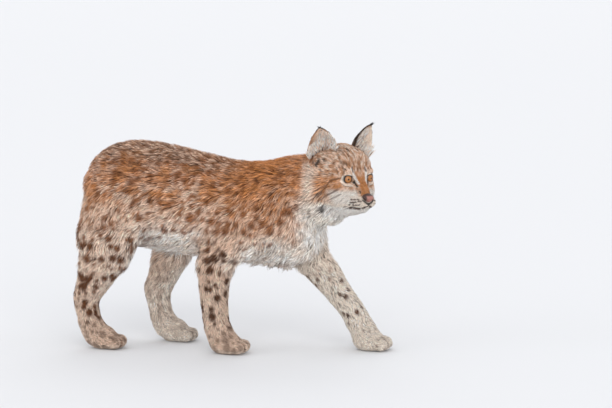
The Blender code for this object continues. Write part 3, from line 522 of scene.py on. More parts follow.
@dataclass
class Build:
    """How long, deep and fine the coat is at each place.

    The limits of its parts are places in metres, before the model was centred.
    """

    stand: Stand
    eye_depth: float = 0.0012
    nose_depth: float = 0.0008

    def parts(self, points: Array) -> dict[str, Array]:
        """How much each point belongs to a part of the animal.

        Args:
            points: World places, one a row.

        Returns:
            One share from 0 to 1 a row for each named part.
        """
        place = self.stand.plain(points)
        head = self.stand.in_head(points)
        x, y, z = place.T
        ahead, left, up = head.T
        side = np.abs(left)
        in_head = smooth(ahead, -0.125, -0.085) * smooth(x, 0.19, 0.25) * smooth(z, 0.255, 0.300)
        face = in_head * smooth(ahead - 0.30 * side, -0.062, -0.030)
        muzzle = in_head * smooth(ahead, -0.006, 0.010) * smooth(up, 0.000, -0.015)
        crown = in_head * smooth(up, 0.010, 0.035)
        ruff = in_head * smooth(ahead, -0.030, -0.060) * smooth(up, 0.000, -0.030)
        leg = smooth(z, 0.215, 0.165)
        paw = smooth(z, 0.070, 0.045)
        belly = (smooth(z, 0.270, 0.215) * smooth(x, -0.20, -0.13) * smooth(x, 0.26, 0.20)
                 * smooth(np.abs(y), 0.085, 0.055) * (1.0 - leg))
        chest = (smooth(x, 0.150, 0.215) * smooth(z, 0.345, 0.285) * smooth(z, 0.17, 0.20)
                 * (1.0 - in_head))
        rear = smooth(x, -0.235, -0.275) * smooth(z, 0.17, 0.22) * smooth(z, 0.44, 0.40)
        tail = (smooth(x, -0.268, -0.285) * smooth(np.abs(y - 0.021), 0.030, 0.020)
                * smooth(z, 0.24, 0.27) * smooth(z, 0.400, 0.385))
        return {"head": in_head, "face": face, "muzzle": muzzle, "crown": crown, "ruff": ruff,
                "leg": leg, "paw": paw, "belly": belly, "chest": chest, "rear": rear,
                "tail": tail}

    def blended(self, points: Array, levels: dict[str, float]) -> Array:
        """A number that changes from part to part.

        Args:
            points: World places, one a row.
            levels: The number on the plain flank and back, then in each named part in the
                order they are laid on.

        Returns:
            One number a row.
        """
        parts = self.parts(points)
        value = np.full(len(points), levels["plain"])
        for name in list(levels)[1:]:
            value = value * (1.0 - parts[name]) + levels[name] * parts[name]
        return value

    def depth(self, points: Array) -> Array:
        """How far the skin lies inside the coat's outline.

        Args:
            points: World places, one a row.

        Returns:
            One depth a row, least round the eyes and the nose.
        """
        deep = self.blended(points, COAT_DEPTH)
        for side in Side:
            centre = np.array(self.stand.eye(side).translation)
            near = smooth(np.linalg.norm(points - centre, axis=1), 0.026, 0.016)
            deep = deep * (1.0 - near) + self.eye_depth * near
        head = self.stand.in_head(points)
        pad = np.linalg.norm(head - np.array([0.036, 0.0, -0.041]), axis=1)
        nose = smooth(pad, 0.019, 0.011)
        return deep * (1.0 - nose) + self.nose_depth * nose

    def length(self, points: Array) -> Array:
        """How long the tufts are."""
        return self.blended(points, COAT_LENGTH)

    def spacing(self, points: Array) -> Array:
        """How far apart the tufts' roots are."""
        return self.blended(points, COAT_SPACING)

    def lie(self, points: Array) -> Array:
        """The way the coat lies, before it is laid along the skin.

        Args:
            points: World places, one a row.

        Returns:
            One direction a row.
        """
        place = self.stand.plain(points)
        head = self.stand.in_head(points)
        parts = self.parts(points)
        x, _, z = place.T
        down = 0.28 + 0.75 * smooth(z, 0.36, 0.25)
        flow = np.stack([-np.ones_like(x), np.zeros_like(x), -down], axis=1)
        flow = mix(flow, np.array([-0.25, 0.0, -1.0]), np.maximum(parts["rear"], parts["chest"]))
        flow = mix(flow, np.array([-0.95, 0.0, -0.35]), parts["belly"])
        shoulder = smooth(x, 0.02, 0.09) * smooth(x, 0.22, 0.15) * smooth(z, 0.40, 0.33)
        flow = mix(flow, np.array([-0.55, 0.0, -1.0]), shoulder * (1.0 - parts["head"]))
        thigh = smooth(x, -0.14, -0.20) * smooth(z, 0.40, 0.30)
        flow = mix(flow, np.array([-0.60, 0.0, -1.0]), thigh)
        leg_flow = np.zeros_like(flow)
        nearest = np.full(len(points), 1e9)
        for line in LEG_LINES:
            away, way, _ = near_line(place, np.array(line))
            closer = away < nearest
            leg_flow[closer] = way[closer]
            nearest = np.where(closer, away, nearest)
        flow = mix(unit(flow), leg_flow, smooth(z, 0.245, 0.185))
        flow = mix(flow, np.array([0.0, 0.0, -1.0]), parts["tail"])
        ahead, left, up = head.T
        side = np.sign(left) * smooth(np.abs(left), 0.004, 0.030)
        over = smooth(up, -0.030, 0.015)
        rise = 0.85 * over * smooth(ahead, -0.035, 0.012) - 0.95 * (1.0 - over)
        spread = 0.55 * side * (1.0 - 0.5 * over)
        face_flow = np.stack([-np.ones_like(x), spread, rise], axis=1)
        face_flow = self.stand.way_from_head(unit(face_flow))
        return unit(mix(flow, face_flow, parts["head"]))


@dataclass
class Markings:
    """The colours of skin and coat, from simple rules of place.

    The limits of the rules are places in metres, before the model was centred. Each kind
    of spot has its usual spacing and radius, and its pattern.
    """

    build: Build
    body_spots: tuple[float, float, int] = (0.0172, 0.0070, Pattern.BODY_SPOTS)
    leg_spots: tuple[float, float, int] = (0.0175, 0.0074, Pattern.LEG_SPOTS)
    far_leg_spots: tuple[float, float, int] = (0.0150, 0.0052, Pattern.FAR_LEG_SPOTS)
    small_spots: tuple[float, float, int] = (0.0105, 0.0036, Pattern.SMALL_SPOTS)

    def colours(self, points: Array, normals: Array) -> tuple[Array, Array]:
        """Colours at the root and at the tip of the coat.

        Args:
            points: World places, one a row.
            normals: The way out of the skin at each.

        Returns:
            Linear colours, one a row, of the roots and of the tips.
        """
        place = self.build.stand.plain(points)
        parts = self.build.parts(points) | self.zones(place)
        grain = (soft_noise(place, 0.0085, Pattern.GRAIN) * 0.6
                 + soft_noise(place, 0.0045, Pattern.FINE_GRAIN) * 0.4)
        root, tip = self.warmed(place, grain)
        root, tip = self.frosted(place, normals, root, tip, parts)
        root, tip = self.whitened(place, normals, grain, root, tip, parts)
        root, tip = self.paled(place, root, tip, parts)
        root, tip = self.spotted(place, root, tip, parts)
        root, tip = self.face(points, root, tip, parts)
        tail_tip = parts["tail"] * smooth(place[:, 2] + 0.020 * (grain - 0.5), 0.335, 0.320)
        return mix(root, Tone.BLACK(), tail_tip), mix(tip, Tone.BLACK(), tail_tip)

    def zones(self, place: Array) -> dict[str, Array]:
        """How much each point belongs to the zones that more than one rule of colour uses.

        Args:
            place: Places before the model was centred.

        Returns:
            One share from 0 to 1 a row for each named zone.
        """
        x, y, z = place.T
        near_leg = smooth(x, -0.065, -0.03) * smooth(x, 0.090, 0.060) * smooth(z, 0.27, 0.23)
        hind_leg = smooth(x, -0.120, -0.170) * smooth(z, 0.30, 0.25)
        front = smooth(x, 0.180, 0.235) * smooth(z, 0.365, 0.300) * smooth(z, 0.175, 0.235)
        return {"near_leg": near_leg, "hind_leg": hind_leg, "front": front,
                "upper_legs": np.clip(near_leg + hind_leg, 0.0, 1.0),
                "low_legs": smooth(z, 0.20, 0.10), "far": smooth(y, 0.0, 0.03)}

    def warmed(self, place: Array, grain: Array) -> tuple[Array, Array]:
        """The ground colour, with warm shoulders, nape and patches.

        Args:
            place: Places before the model was centred.
            grain: Fine noise of the same rows.

        Returns:
            The colours of roots and tips.
        """
        x, _, z = place.T
        broad = soft_noise(place, 0.045, Pattern.BROAD)
        warm = smooth(x, -0.02, 0.06) * smooth(x, 0.22, 0.15) * smooth(z, 0.21, 0.27)
        warm = warm * (0.35 + 0.65 * smooth(z, 0.29, 0.36))
        warm = warm * (0.50 + 0.50 * smooth(broad, 0.3, 0.6))
        neck = smooth(x, 0.15, 0.18) * smooth(z, 0.33, 0.37)
        level = grain + 0.20 * (broad - 0.5) + 0.16 * smooth(z, 0.34, 0.25) - 0.10 * warm
        root = mix(Tone.RUST(), Tone.TAWNY(), smooth(level, 0.35, 0.80))
        tip = mix(Tone.TAWNY(0.90), Tone.PALE(), smooth(level, 0.30, 0.58))
        patch = smooth(soft_noise(place, 0.024, Pattern.PATCH), 0.44, 0.64)
        patch = patch * smooth(z, 0.30, 0.36) * (1.0 - warm)
        tip = mix(tip, Tone.RUST(1.4), 0.40 * smooth(z, 0.345, 0.395))
        share = np.maximum(0.80 * warm, np.maximum(0.50 * neck, 0.72 * patch))
        return root, mix(tip, Tone.ORANGE(0.95), share)

    def frosted(self, place: Array, normals: Array, root: Array, tip: Array,
                parts: dict[str, Array]) -> tuple[Array, Array]:
        """The dark ridge of the back, grained with frost.

        Args:
            place: Places before the model was centred.
            normals: The way out of the skin at each.
            root: Colours at the roots.
            tip: Colours at the tips.
            parts: The shares of Build.parts() and zones().

        Returns:
            The colours of roots and tips with the ridge.
        """
        x, _, z = place.T
        ridge = smooth(normals[:, 2], 0.35, 0.80) * smooth(z, 0.385, 0.42) * smooth(x, 0.10, 0.02)
        ridge = ridge * (1.0 - parts["head"])
        frost = soft_noise(place, 0.005, Pattern.FROST)
        dark = mix(Tone.BROWN(), Tone.PALE(), smooth(frost, 0.40, 0.72))
        return mix(root, Tone.BROWN(), 0.70 * ridge), mix(tip, dark, 0.70 * ridge)

    def whitened(self, place: Array, normals: Array, grain: Array, root: Array, tip: Array,
                 parts: dict[str, Array]) -> tuple[Array, Array]:
        """The pale belly, the white chest and the pale band of the neck.

        Args:
            place: Places before the model was centred.
            normals: The way out of the skin at each.
            grain: Fine noise of the same rows.
            root: Colours at the roots.
            tip: Colours at the tips.
            parts: The shares of Build.parts() and zones().

        Returns:
            The colours of roots and tips with the pale parts.
        """
        x, _, z = place.T
        under = smooth(normals[:, 2], 0.05, -0.60) * smooth(z, 0.33, 0.26)
        low = smooth(z, 0.285, 0.235) * smooth(x, -0.20, -0.13)
        inner = smooth(np.abs(normals[:, 1]), 0.70, 0.30)
        inner = inner * smooth(z, 0.28, 0.22) * smooth(z, 0.10, 0.15)
        root = mix(root, Tone.SAND(), 0.65 * low * (1.0 - parts["upper_legs"]))
        tip = mix(tip, Tone.CREAM(), 0.50 * low * (1.0 - parts["upper_legs"]))
        white = np.maximum(np.maximum(0.8 * under, parts["front"]), 0.6 * inner)
        white = np.clip(white, 0.0, 1.0)
        root = mix(root, Tone.CREAM(), white)
        tip = mix(tip, mix(Tone.CREAM(), Tone.WHITE(), 0.9 * smooth(grain, 0.20, 0.55)), white)
        band = smooth(np.abs(x - 0.228 + 0.10 * (z - 0.36)), 0.018, 0.008) * smooth(z, 0.29, 0.33)
        band = band * smooth(z, 0.44, 0.42)
        pale = mix(Tone.PALE(), Tone.CREAM(), smooth(grain, 0.35, 0.65))
        return root, mix(tip, pale, 0.80 * band)

    def paled(self, place: Array, root: Array, tip: Array,
              parts: dict[str, Array]) -> tuple[Array, Array]:
        """The legs, paler downward and on the far side, where the paleness is partly the legs' own
        colour and partly painted light that lifts their shade.

        Args:
            place: Places before the model was centred.
            root: Colours at the roots.
            tip: Colours at the tips.
            parts: The shares of Build.parts() and zones().

        Returns:
            The colours of roots and tips with the legs.
        """
        x, _, z = place.T
        leg, far = parts["low_legs"], parts["far"]
        # The far side is paler: partly the legs' own colour, partly painted light that lifts their
        # shade
        root = mix(root, mix(Tone.TAWNY(), Tone.CREAM(), far), (0.65 + 0.20 * far) * leg)
        tip = mix(tip, Tone.CREAM(), 0.30 * parts["hind_leg"] * (1.0 - leg))
        pale = mix(Tone.PALE(), Tone.CREAM(), np.clip(0.6 * far + 0.4 * leg, 0, 1))
        # The far foreleg lightened to cream: partly its own colour, partly painted light that lifts
        # its shade
        far_leg = far * smooth(x, 0.10, 0.16) * smooth(z, 0.27, 0.21)
        pale = mix(pale, Tone.CREAM(), 0.85 * far_leg)
        root = mix(root, Tone.CREAM(), 0.80 * far_leg)
        near_leg = 0.55 * parts["near_leg"] * smooth(z, 0.25, 0.20)
        return root, mix(tip, pale, np.maximum(np.maximum(0.85 * leg, far_leg), near_leg))

    def spotted(self, place: Array, root: Array, tip: Array,
                parts: dict[str, Array]) -> tuple[Array, Array]:
        """Rust spots over the body that turn black-brown down the legs.

        Args:
            place: Places before the model was centred.
            root: Colours at the roots.
            tip: Colours at the tips.
            parts: The shares of Build.parts() and zones().

        Returns:
            The colours of roots and tips with the spots.
        """
        x, _, z = place.T
        spread = place * np.array([0.85, 1.0, 0.80])
        far = parts["far"]
        down = np.clip(parts["upper_legs"] + parts["low_legs"], 0.0, 1.0)
        dots = np.maximum(spots(spread, *self.body_spots), down * spots(spread, *self.leg_spots))
        far_front = far * smooth(x, 0.06, 0.12) * smooth(z, 0.30, 0.24)
        far_dots = spots(spread, *self.far_leg_spots)
        dots = mix(dots[:, None], far_dots[:, None], far_front)[:, 0]
        body = (1.0 - parts["head"]) * (1.0 - 0.85 * parts["front"]) * (1.0 - 0.85 * parts["belly"])
        body = body * smooth(z, 0.445, 0.415) * (1.0 - 0.45 * parts["paw"])
        # Fainter spots on the far hind leg: partly its own faint spots, partly painted light that
        # lifts its shade
        faint = 0.60 * far * smooth(z, 0.30, 0.22) * smooth(x, 0.12, 0.06)
        strength = (0.90 + 0.10 * down) * (1.0 - faint)
        tone = mix(Tone.RUST(0.85), Tone.BROWN(1.15), smooth(z, 0.275, 0.215))
        tone = mix(tone, Tone.RUST(0.60), 0.60 * smooth(x, -0.08, -0.14) * smooth(z, 0.02, 0.10))
        tip = mix(tip, tone, dots * strength * body)
        root = mix(root, tone * 0.6, dots * strength * body)
        # Painted shade in the gaps between the toes
        tip = self.toes(place, tip)
        small = spots(spread, *self.small_spots)
        return root, mix(tip, Tone.RUST(), 0.60 * small * body * (1.0 - down))

    def toes(self, place: Array, tip: Array) -> Array:
        """Painted shade: dark lines in the gaps between the toes.

        Args:
            place: Places before the model was centred.
            tip: Colours at the tips.

        Returns:
            The colours of the tips with the lines.
        """
        x, y, z = place.T
        for ahead, aside, half_length, half_width in PAW_PLACES:
            middle = np.abs(y - aside)
            gap = np.minimum(middle, np.abs(middle - TOE_SPREAD * half_width))
            reach = x - ahead
            # How much painted shade lies in each gap
            shade = smooth(gap, 0.0022, 0.0008)
            shade = shade * smooth(reach, 0.35 * half_length, 0.65 * half_length)
            shade = shade * smooth(z, 0.036, 0.022)
            shade = shade * smooth(reach, 2.0 * half_length, 1.6 * half_length)
            tip = mix(tip, Tone.BROWN(), 0.60 * shade)
        return tip

    def face(self, points: Array, root: Array, tip: Array,
             parts: dict[str, Array]) -> tuple[Array, Array]:
        """The markings of the head laid over the body's colours.

        Args:
            points: World places, one a row.
            root: Colours at the roots.
            tip: Colours at the tips.
            parts: The shares of Build.parts() and zones().

        Returns:
            The colours of roots and tips with the head's own.
        """
        head = self.build.stand.in_head(points)
        ahead, left, up = head.T
        mirrored = np.stack([ahead, np.abs(left), up], axis=1)
        base = self.lined(head, mirrored, self.face_ground(head))
        return mix(root, base * 0.88, parts["head"]), mix(tip, base, parts["head"])

    def face_ground(self, head: Array) -> Array:
        """The head's broad colours: streaked crown, warm bridge and cheek, pale chin.

        Args:
            head: Places in the head's axes.

        Returns:
            One colour a row.
        """
        ahead, left, up = head.T
        side = np.abs(left)
        fine = soft_noise(head, 0.0042, Pattern.FACE_GRAIN)
        streak = soft_noise(head * np.array([0.30, 1.0, 0.30]), 0.0026, Pattern.FACE_STREAK)
        crown = smooth(up, -0.005, 0.015)
        base = mix(Tone.TAWNY(), Tone.PALE(), smooth(fine, 0.30, 0.70))
        base = mix(base, Tone.BROWN(), 0.62 * smooth(streak, 0.60, 0.80) * crown)
        base = mix(base, Tone.CREAM(), 0.70 * smooth(streak, 0.38, 0.20) * crown)
        bridge = smooth(side, 0.0150, 0.0095) * smooth(ahead, -0.002, 0.008)
        bridge = bridge * smooth(up, -0.037, -0.031)
        base = mix(base, Tone.ORANGE(0.9), 0.85 * bridge * smooth(up, 0.020, 0.000))
        cheek = (smooth(up, 0.012, -0.002) * smooth(up, -0.042, -0.020) * smooth(side, 0.040, 0.048)
                 * smooth(ahead, -0.076, -0.056))
        base = mix(base, Tone.ORANGE(0.9), 0.60 * cheek)
        pale = smooth(up, -0.018, -0.030) * smooth(side, 0.014, 0.020)
        pale = pale * smooth(ahead, -0.045, -0.020)
        base = mix(base, mix(Tone.CREAM(), Tone.WHITE(), np.full(len(base), 0.5)), 0.90 * pale)
        low = np.maximum(smooth(up, -0.050, -0.060), smooth(up, -0.034, -0.040)
                         * smooth(ahead, 0.004, 0.012))
        chin = mix(Tone.CREAM(), Tone.WHITE(), 0.7 * smooth(up, -0.058, -0.066))
        base = mix(base, chin, 0.92 * low)
        back = smooth(ahead, -0.058, -0.075) * smooth(up, 0.030, 0.010)
        return mix(base, Tone.CREAM(), 0.60 * back)

    def lined(self, head: Array, mirrored: Array, base: Array) -> Array:
        """The face's strips, lines, spots and whisker dots, drawn alike on both sides.

        Args:
            head: Places in the head's axes.
            mirrored: The same places with both sides folded onto the left.
            base: The head's broad colours.

        Returns:
            The colours with the lines.
        """
        for line, tone, strength, outer, inner in PALE_STRIPS:
            away, _, _ = near_line(mirrored, np.array(line))
            base = mix(base, tone(), strength * smooth(away, outer, inner))
        lip, _, _ = near_line(mirrored, np.array(LIP_LINE))
        patchy = smooth(soft_noise(head, 0.0026, Pattern.LIP), 0.30, 0.50)
        base = mix(base, Tone.BROWN(), 0.92 * patchy * smooth(lip, 0.0040, 0.0022))
        for mark in Drawn:
            line, half_width, strength = mark.value
            away, _, _ = near_line(mirrored, np.array(line))
            tone = Tone.BLACK if strength > 0.8 else Tone.BROWN
            base = mix(base, tone(), strength * smooth(away, half_width * 1.3, half_width * 0.6))
        for dot in WHISKER_DOTS:
            line = np.array(dot) + np.array(((-0.0019, 0.0, 0.0), (0.0019, 0.0, 0.0)))
            away, _, _ = near_line(mirrored, line)
            base = mix(base, Tone.BROWN(0.6), 0.90 * smooth(away, 0.0025, 0.0014))
        return base


@dataclass(frozen=True)
class Finish:
    """A material that reads a piece's own colours and adds fine variation.

    The fur's own values are the ones that stand here. Where coat is above 0 the piece
    has a wet gloss of that strength.
    """

    name: str
    roughness: float = 0.78
    scale: float = 420.0
    spread: float = 0.28
    bump: float = 0.25
    bump_height: float = 0.001
    sheen: float = 0.04
    specular: float = 0.25
    coat: float = 0.0
    coat_roughness: float = 0.04

    def build(self) -> bpy.types.Material:
        """Makes the material.

        Returns:
            The new material.
        """
        made = bpy.data.materials.new(self.name)
        made.use_nodes = True
        nodes, links = made.node_tree.nodes, made.node_tree.links
        shader = nodes["Principled BSDF"]
        shader.inputs["Roughness"].default_value = self.roughness
        shader.inputs["Sheen Weight"].default_value = self.sheen
        shader.inputs["Specular IOR Level"].default_value = self.specular
        if self.coat:
            shader.inputs["Coat Weight"].default_value = self.coat
            shader.inputs["Coat Roughness"].default_value = self.coat_roughness
        tint = nodes.new("ShaderNodeAttribute")
        tint.attribute_name = "tint"
        place = nodes.new("ShaderNodeTexCoord")
        noise = nodes.new("ShaderNodeTexNoise")
        noise.inputs["Scale"].default_value = self.scale
        links.new(place.outputs["Object"], noise.inputs["Vector"])
        level = nodes.new("ShaderNodeMapRange")
        level.inputs["To Min"].default_value = 1.0 - self.spread
        level.inputs["To Max"].default_value = 1.0 + self.spread
        links.new(noise.outputs["Fac"], level.inputs["Value"])
        shade = nodes.new("ShaderNodeVectorMath")
        shade.operation = "SCALE"
        links.new(tint.outputs["Color"], shade.inputs[0])
        links.new(level.outputs["Result"], shade.inputs["Scale"])
        links.new(shade.outputs["Vector"], shader.inputs["Base Color"])
        if self.bump:
            bump = nodes.new("ShaderNodeBump")
            bump.inputs["Strength"].default_value = self.bump
            bump.inputs["Distance"].default_value = self.bump_height
            links.new(noise.outputs["Fac"], bump.inputs["Height"])
            links.new(bump.outputs["Normal"], shader.inputs["Normal"])
        return made


FUR = Finish("lynx_coat")
SKIN = Finish("lynx_skin", bump=0.6)
EAR_SHELL = Finish("lynx_ear", bump=0.6)
EYEBALL = Finish("lynx_eye", roughness=0.30, scale=900.0, spread=0.12, bump=0.0, sheen=0.0,
                 coat=0.35)
LID = Finish("lynx_lid", roughness=0.60, scale=1500.0, spread=0.25, bump=0.4,
             bump_height=0.0006, sheen=0.0, coat=0.05)
NOSE_PAD = Finish("lynx_nose", roughness=0.42, scale=1400.0, spread=0.20, bump=0.8,
                  bump_height=0.0006, sheen=0.0, coat=0.15)


def mesh_object(name: str, points: Array, faces: Array, tints: Array,
                finish: bpy.types.Material) -> bpy.types.Object:
    """An object from arrays of points and equal-sided faces.

    Args:
        name: The piece's name.
        points: World places, one a row.
        faces: Rows of point numbers, three or four to a row.
        tints: One linear colour a point.
        finish: The material.

    Returns:
        The object, linked to the scene.
    """
    mesh = bpy.data.meshes.new(name)
    count, sides = faces.shape
    mesh.vertices.add(len(points))
    mesh.vertices.foreach_set("co", np.asarray(points, np.float32).ravel())
    mesh.loops.add(count * sides)
    mesh.loops.foreach_set("vertex_index", faces.astype(np.int32).ravel())
    mesh.polygons.add(count)
    mesh.polygons.foreach_set("loop_start", np.arange(0, count * sides, sides, dtype=np.int32))
    mesh.polygons.foreach_set("use_smooth", np.ones(count, bool))
    mesh.update(calc_edges=True)
    layer = mesh.color_attributes.new("tint", "FLOAT_COLOR", "POINT")
    rgba = np.ones((len(points), 4), np.float32)
    rgba[:, :3] = tints
    layer.data.foreach_set("color", rgba.ravel())
    mesh.materials.append(finish)
    made = bpy.data.objects.new(name, mesh)
    bpy.context.scene.collection.objects.link(made)
    LOG.info("%s: %d points, %d faces", name, len(points), count)
    return made


@dataclass
class Skin:
    """The one skin under the coat, from the CAD nodes of flesh.

    Attributes:
        cell: The grid's spacing.
        closing: How far the outline is swollen to close the gaps between the nodes.
        band: How far from the outline the distances reach.
        socket: How far the skin lies from an eye's middle within the lids' opening.
        volume: Distances to the coat's outline.
        inside: Distances to the skin.
    """

    stand: Stand
    build: Build
    marks: Markings
    cell: float = 0.0020
    closing: float = 0.0009
    band: float = 0.034
    far_depth: float = 0.004
    # How much darker the skin is than the coat's colours: painted shade under the coat
    shade: float = 0.75
    toe_depth: float = 0.0042
    socket: float = 0.0105
    volume: Volume | None = None
    inside: Volume | None = None
    surface: bpy.types.Object | None = None

    def outline(self, nodes: dict[str, bpy.types.Object]) -> tuple[Array, Array]:
        """All the flesh nodes as one set of triangles.

        Args:
            nodes: The CAD nodes by name.

        Returns:
            Points and triangles.
        """
        points, faces, start = [], [], 0
        for name in FLESH + ("eye_right", "eye_left"):
            mesh = nodes[name].data
            mesh.calc_loop_triangles()
            rows = np.zeros(len(mesh.vertices) * 3, np.float32)
            mesh.vertices.foreach_get("co", rows)
            triangles = np.zeros(len(mesh.loop_triangles) * 3, np.int32)
            mesh.loop_triangles.foreach_get("vertices", triangles)
            points.append(rows.reshape(-1, 3))
            faces.append(triangles.reshape(-1, 3) + start)
            start += len(mesh.vertices)
        return np.concatenate(points), np.concatenate(faces)

    def measure(self, nodes: dict[str, bpy.types.Object]) -> None:
        """Fills the grid with the distance to the coat's outline.

        Args:
            nodes: The CAD nodes by name.
        """
        points, faces = self.outline(nodes)
        grid_of = openvdb.createLinearTransform
        first = openvdb.FloatGrid.createLevelSetFromPolygons(
            points, triangles=faces, transform=grid_of(voxelSize=self.cell), halfWidth=3)
        points, quads = first.convertToQuads(isovalue=self.closing)
        points, quads = self.largest(points, quads)
        width = self.band / self.cell
        second = openvdb.FloatGrid.createLevelSetFromPolygons(
            points, quads=quads, transform=grid_of(voxelSize=self.cell), halfWidth=width)
        low, high = second.evalActiveVoxelBoundingBox()
        low, high = np.array(low) - 1, np.array(high) + 1
        values = np.full(tuple(high - low + 1), self.band, np.float32)
        second.copyToArray(values, ijk=tuple(int(v) for v in low))
        values = values + self.closing
        self.volume = Volume(low * self.cell, self.cell, self.softened(values, low))

    def largest(self, points: Array, quads: Array) -> tuple[Array, Array]:
        """Only the outer shell of a mesh.

        Args:
            points: The mesh's points.
            quads: Its faces.

        Returns:
            The points, and the faces of the shell with the most points.
        """
        label = np.arange(len(points))
        while True:
            lowest = label[quads].min(axis=1)
            before = label.copy()
            for k in range(4):
                np.minimum.at(label, quads[:, k], lowest)
            label = label[label]
            if (label == before).all():
                break
        names, counts = np.unique(label[quads[:, 0]], return_counts=True)
        kept = label[quads[:, 0]] == names[counts.argmax()]
        return points, quads[kept]

    def softened(self, values: Array, low: Array) -> Array:
        """The grid with the CAD's facets smoothed out, least on the head and paws.

        Args:
            values: Distances on the grid.
            low: The grid's first cell.

        Returns:
            The smoothed distances.
        """
        soft = values
        for _ in range(3):
            soft = self.blurred(soft)
        light = self.blurred(values)
        x = (np.arange(values.shape[0]) + low[0]) * self.cell - self.stand.shift[0]
        z = (np.arange(values.shape[2]) + low[2]) * self.cell
        body = np.maximum(smooth(x, 0.24, 0.19)[:, None, None],
                          smooth(z, 0.24, 0.20)[None, None, :])
        body = body * smooth(z, 0.05, 0.10)[None, None, :]
        return light * (1.0 - body) + soft * body

    def blurred(self, values: Array) -> Array:
        """Each value averaged with its neighbours along each axis.

        Args:
            values: Numbers on a grid.

        Returns:
            The averages.
        """
        for axis in range(3):
            values = 0.5 * values + 0.25 * (np.roll(values, 1, axis) + np.roll(values, -1, axis))
        return values

    def grow(self) -> None:
        """Makes the skin's mesh where the outline's distance is the coat's depth."""
        volume = self.volume
        near = np.argwhere(np.abs(volume.values) < self.band * 0.95)
        places = volume.low + near * volume.cell
        deep = np.full(volume.values.shape, self.far_depth, np.float32)
        deep[near[:, 0], near[:, 1], near[:, 2]] = self.build.depth(places)
        deep[near[:, 0], near[:, 1], near[:, 2]] += self.toe_gaps(places)
        inside = volume.values + deep
        self.inside = Volume(volume.low, volume.cell, inside)
        grid = openvdb.FloatGrid(self.band)
        grid.transform = openvdb.createLinearTransform(voxelSize=self.cell)
        start = tuple(int(round(v)) for v in volume.low / volume.cell)
        grid.copyFromArray(np.ascontiguousarray(inside, np.float32), ijk=start)
        points, quads = grid.convertToQuads(isovalue=0.0)
        points, quads = self.largest(points, quads)
        used, quads = np.unique(quads, return_inverse=True)
        points = points[used].astype(float)
        quads = quads.reshape(-1, 4)[:, ::-1]
        points = self.creased(self.around_eyes(points))
        normals = self.inside.slope(points)
        seen = points + normals * self.build.depth(points)[:, None]
        root, tip = self.marks.colours(seen, normals)
        # The skin takes the coat's colours, darkened as painted shade under the coat
        tints = self.shade * (0.6 * root + 0.4 * tip)
        self.surface = mesh_object("skin", points, quads, tints, SKIN.build())
        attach(self.surface, "root")
        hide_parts(*FLESH)

    def toe_gaps(self, points: Array) -> Array:
        """How much deeper the skin lies in the gaps between the toes.

        Args:
            points: World places, one a row.

        Returns:
            One depth a row.
        """
        place = self.stand.plain(points)
        deep = np.zeros(len(points))
        for ahead, aside, half_length, half_width in PAW_PLACES:
            for gap in (-1.0, 0.0, 1.0):
                across = place[:, 1] - aside - gap * TOE_SPREAD * half_width
                front = smooth(place[:, 0] - ahead, 0.10 * half_length, 0.55 * half_length)
                low = smooth(place[:, 2], 0.052, 0.034)
                near = smooth(place[:, 0] - ahead, 1.9 * half_length, 1.5 * half_length)
                cut = self.toe_depth * front * low * near * np.exp(-(across / 0.0024) ** 2)
                deep = np.maximum(deep, cut)
        return deep

    def around_eyes(self, points: Array) -> Array:
        """The skin sunk behind each eyeball within the lids' opening.

        Args:
            points: The skin's points.

        Returns:
            The moved points.
        """
        for side in Side:
            place = self.stand.eye(side)
            turn = np.array(place.to_3x3())
            local = (points - np.array(place.translation)) @ turn
            away = np.linalg.norm(local, axis=1)
            near = (away < 0.022) & (local[:, 0] > 0.0)
            share = opening_share(local[:, 1], local[:, 2])
            sunk = smooth(share, 1.18, 1.02)
            wanted = away * (1.0 - sunk) + self.socket * sunk
            scale = np.where(near, np.minimum(wanted, away) / np.maximum(away, 1e-6), 1.0)
            points = np.array(place.translation) + (local * scale[:, None]) @ turn.T
        return points

    def creased(self, points: Array) -> Array:
        """The skin pressed in along the lips and the cleft under the nose.

        Args:
            points: The skin's points.

        Returns:
            The moved points.
        """
        head = self.stand.in_head(points)
        mirrored = head * np.array([1.0, 0.0, 1.0]) + np.abs(head) * np.array([0.0, 1.0, 0.0])
        out = self.inside.slope(points)
        deep = np.zeros(len(points))
        for line, half_width, depth in CREASES:
            away, _, _ = near_line(mirrored, np.array(line))
            deep = np.maximum(deep, depth * np.exp(-(away / half_width) ** 2))
        return points - out * deep[:, None]


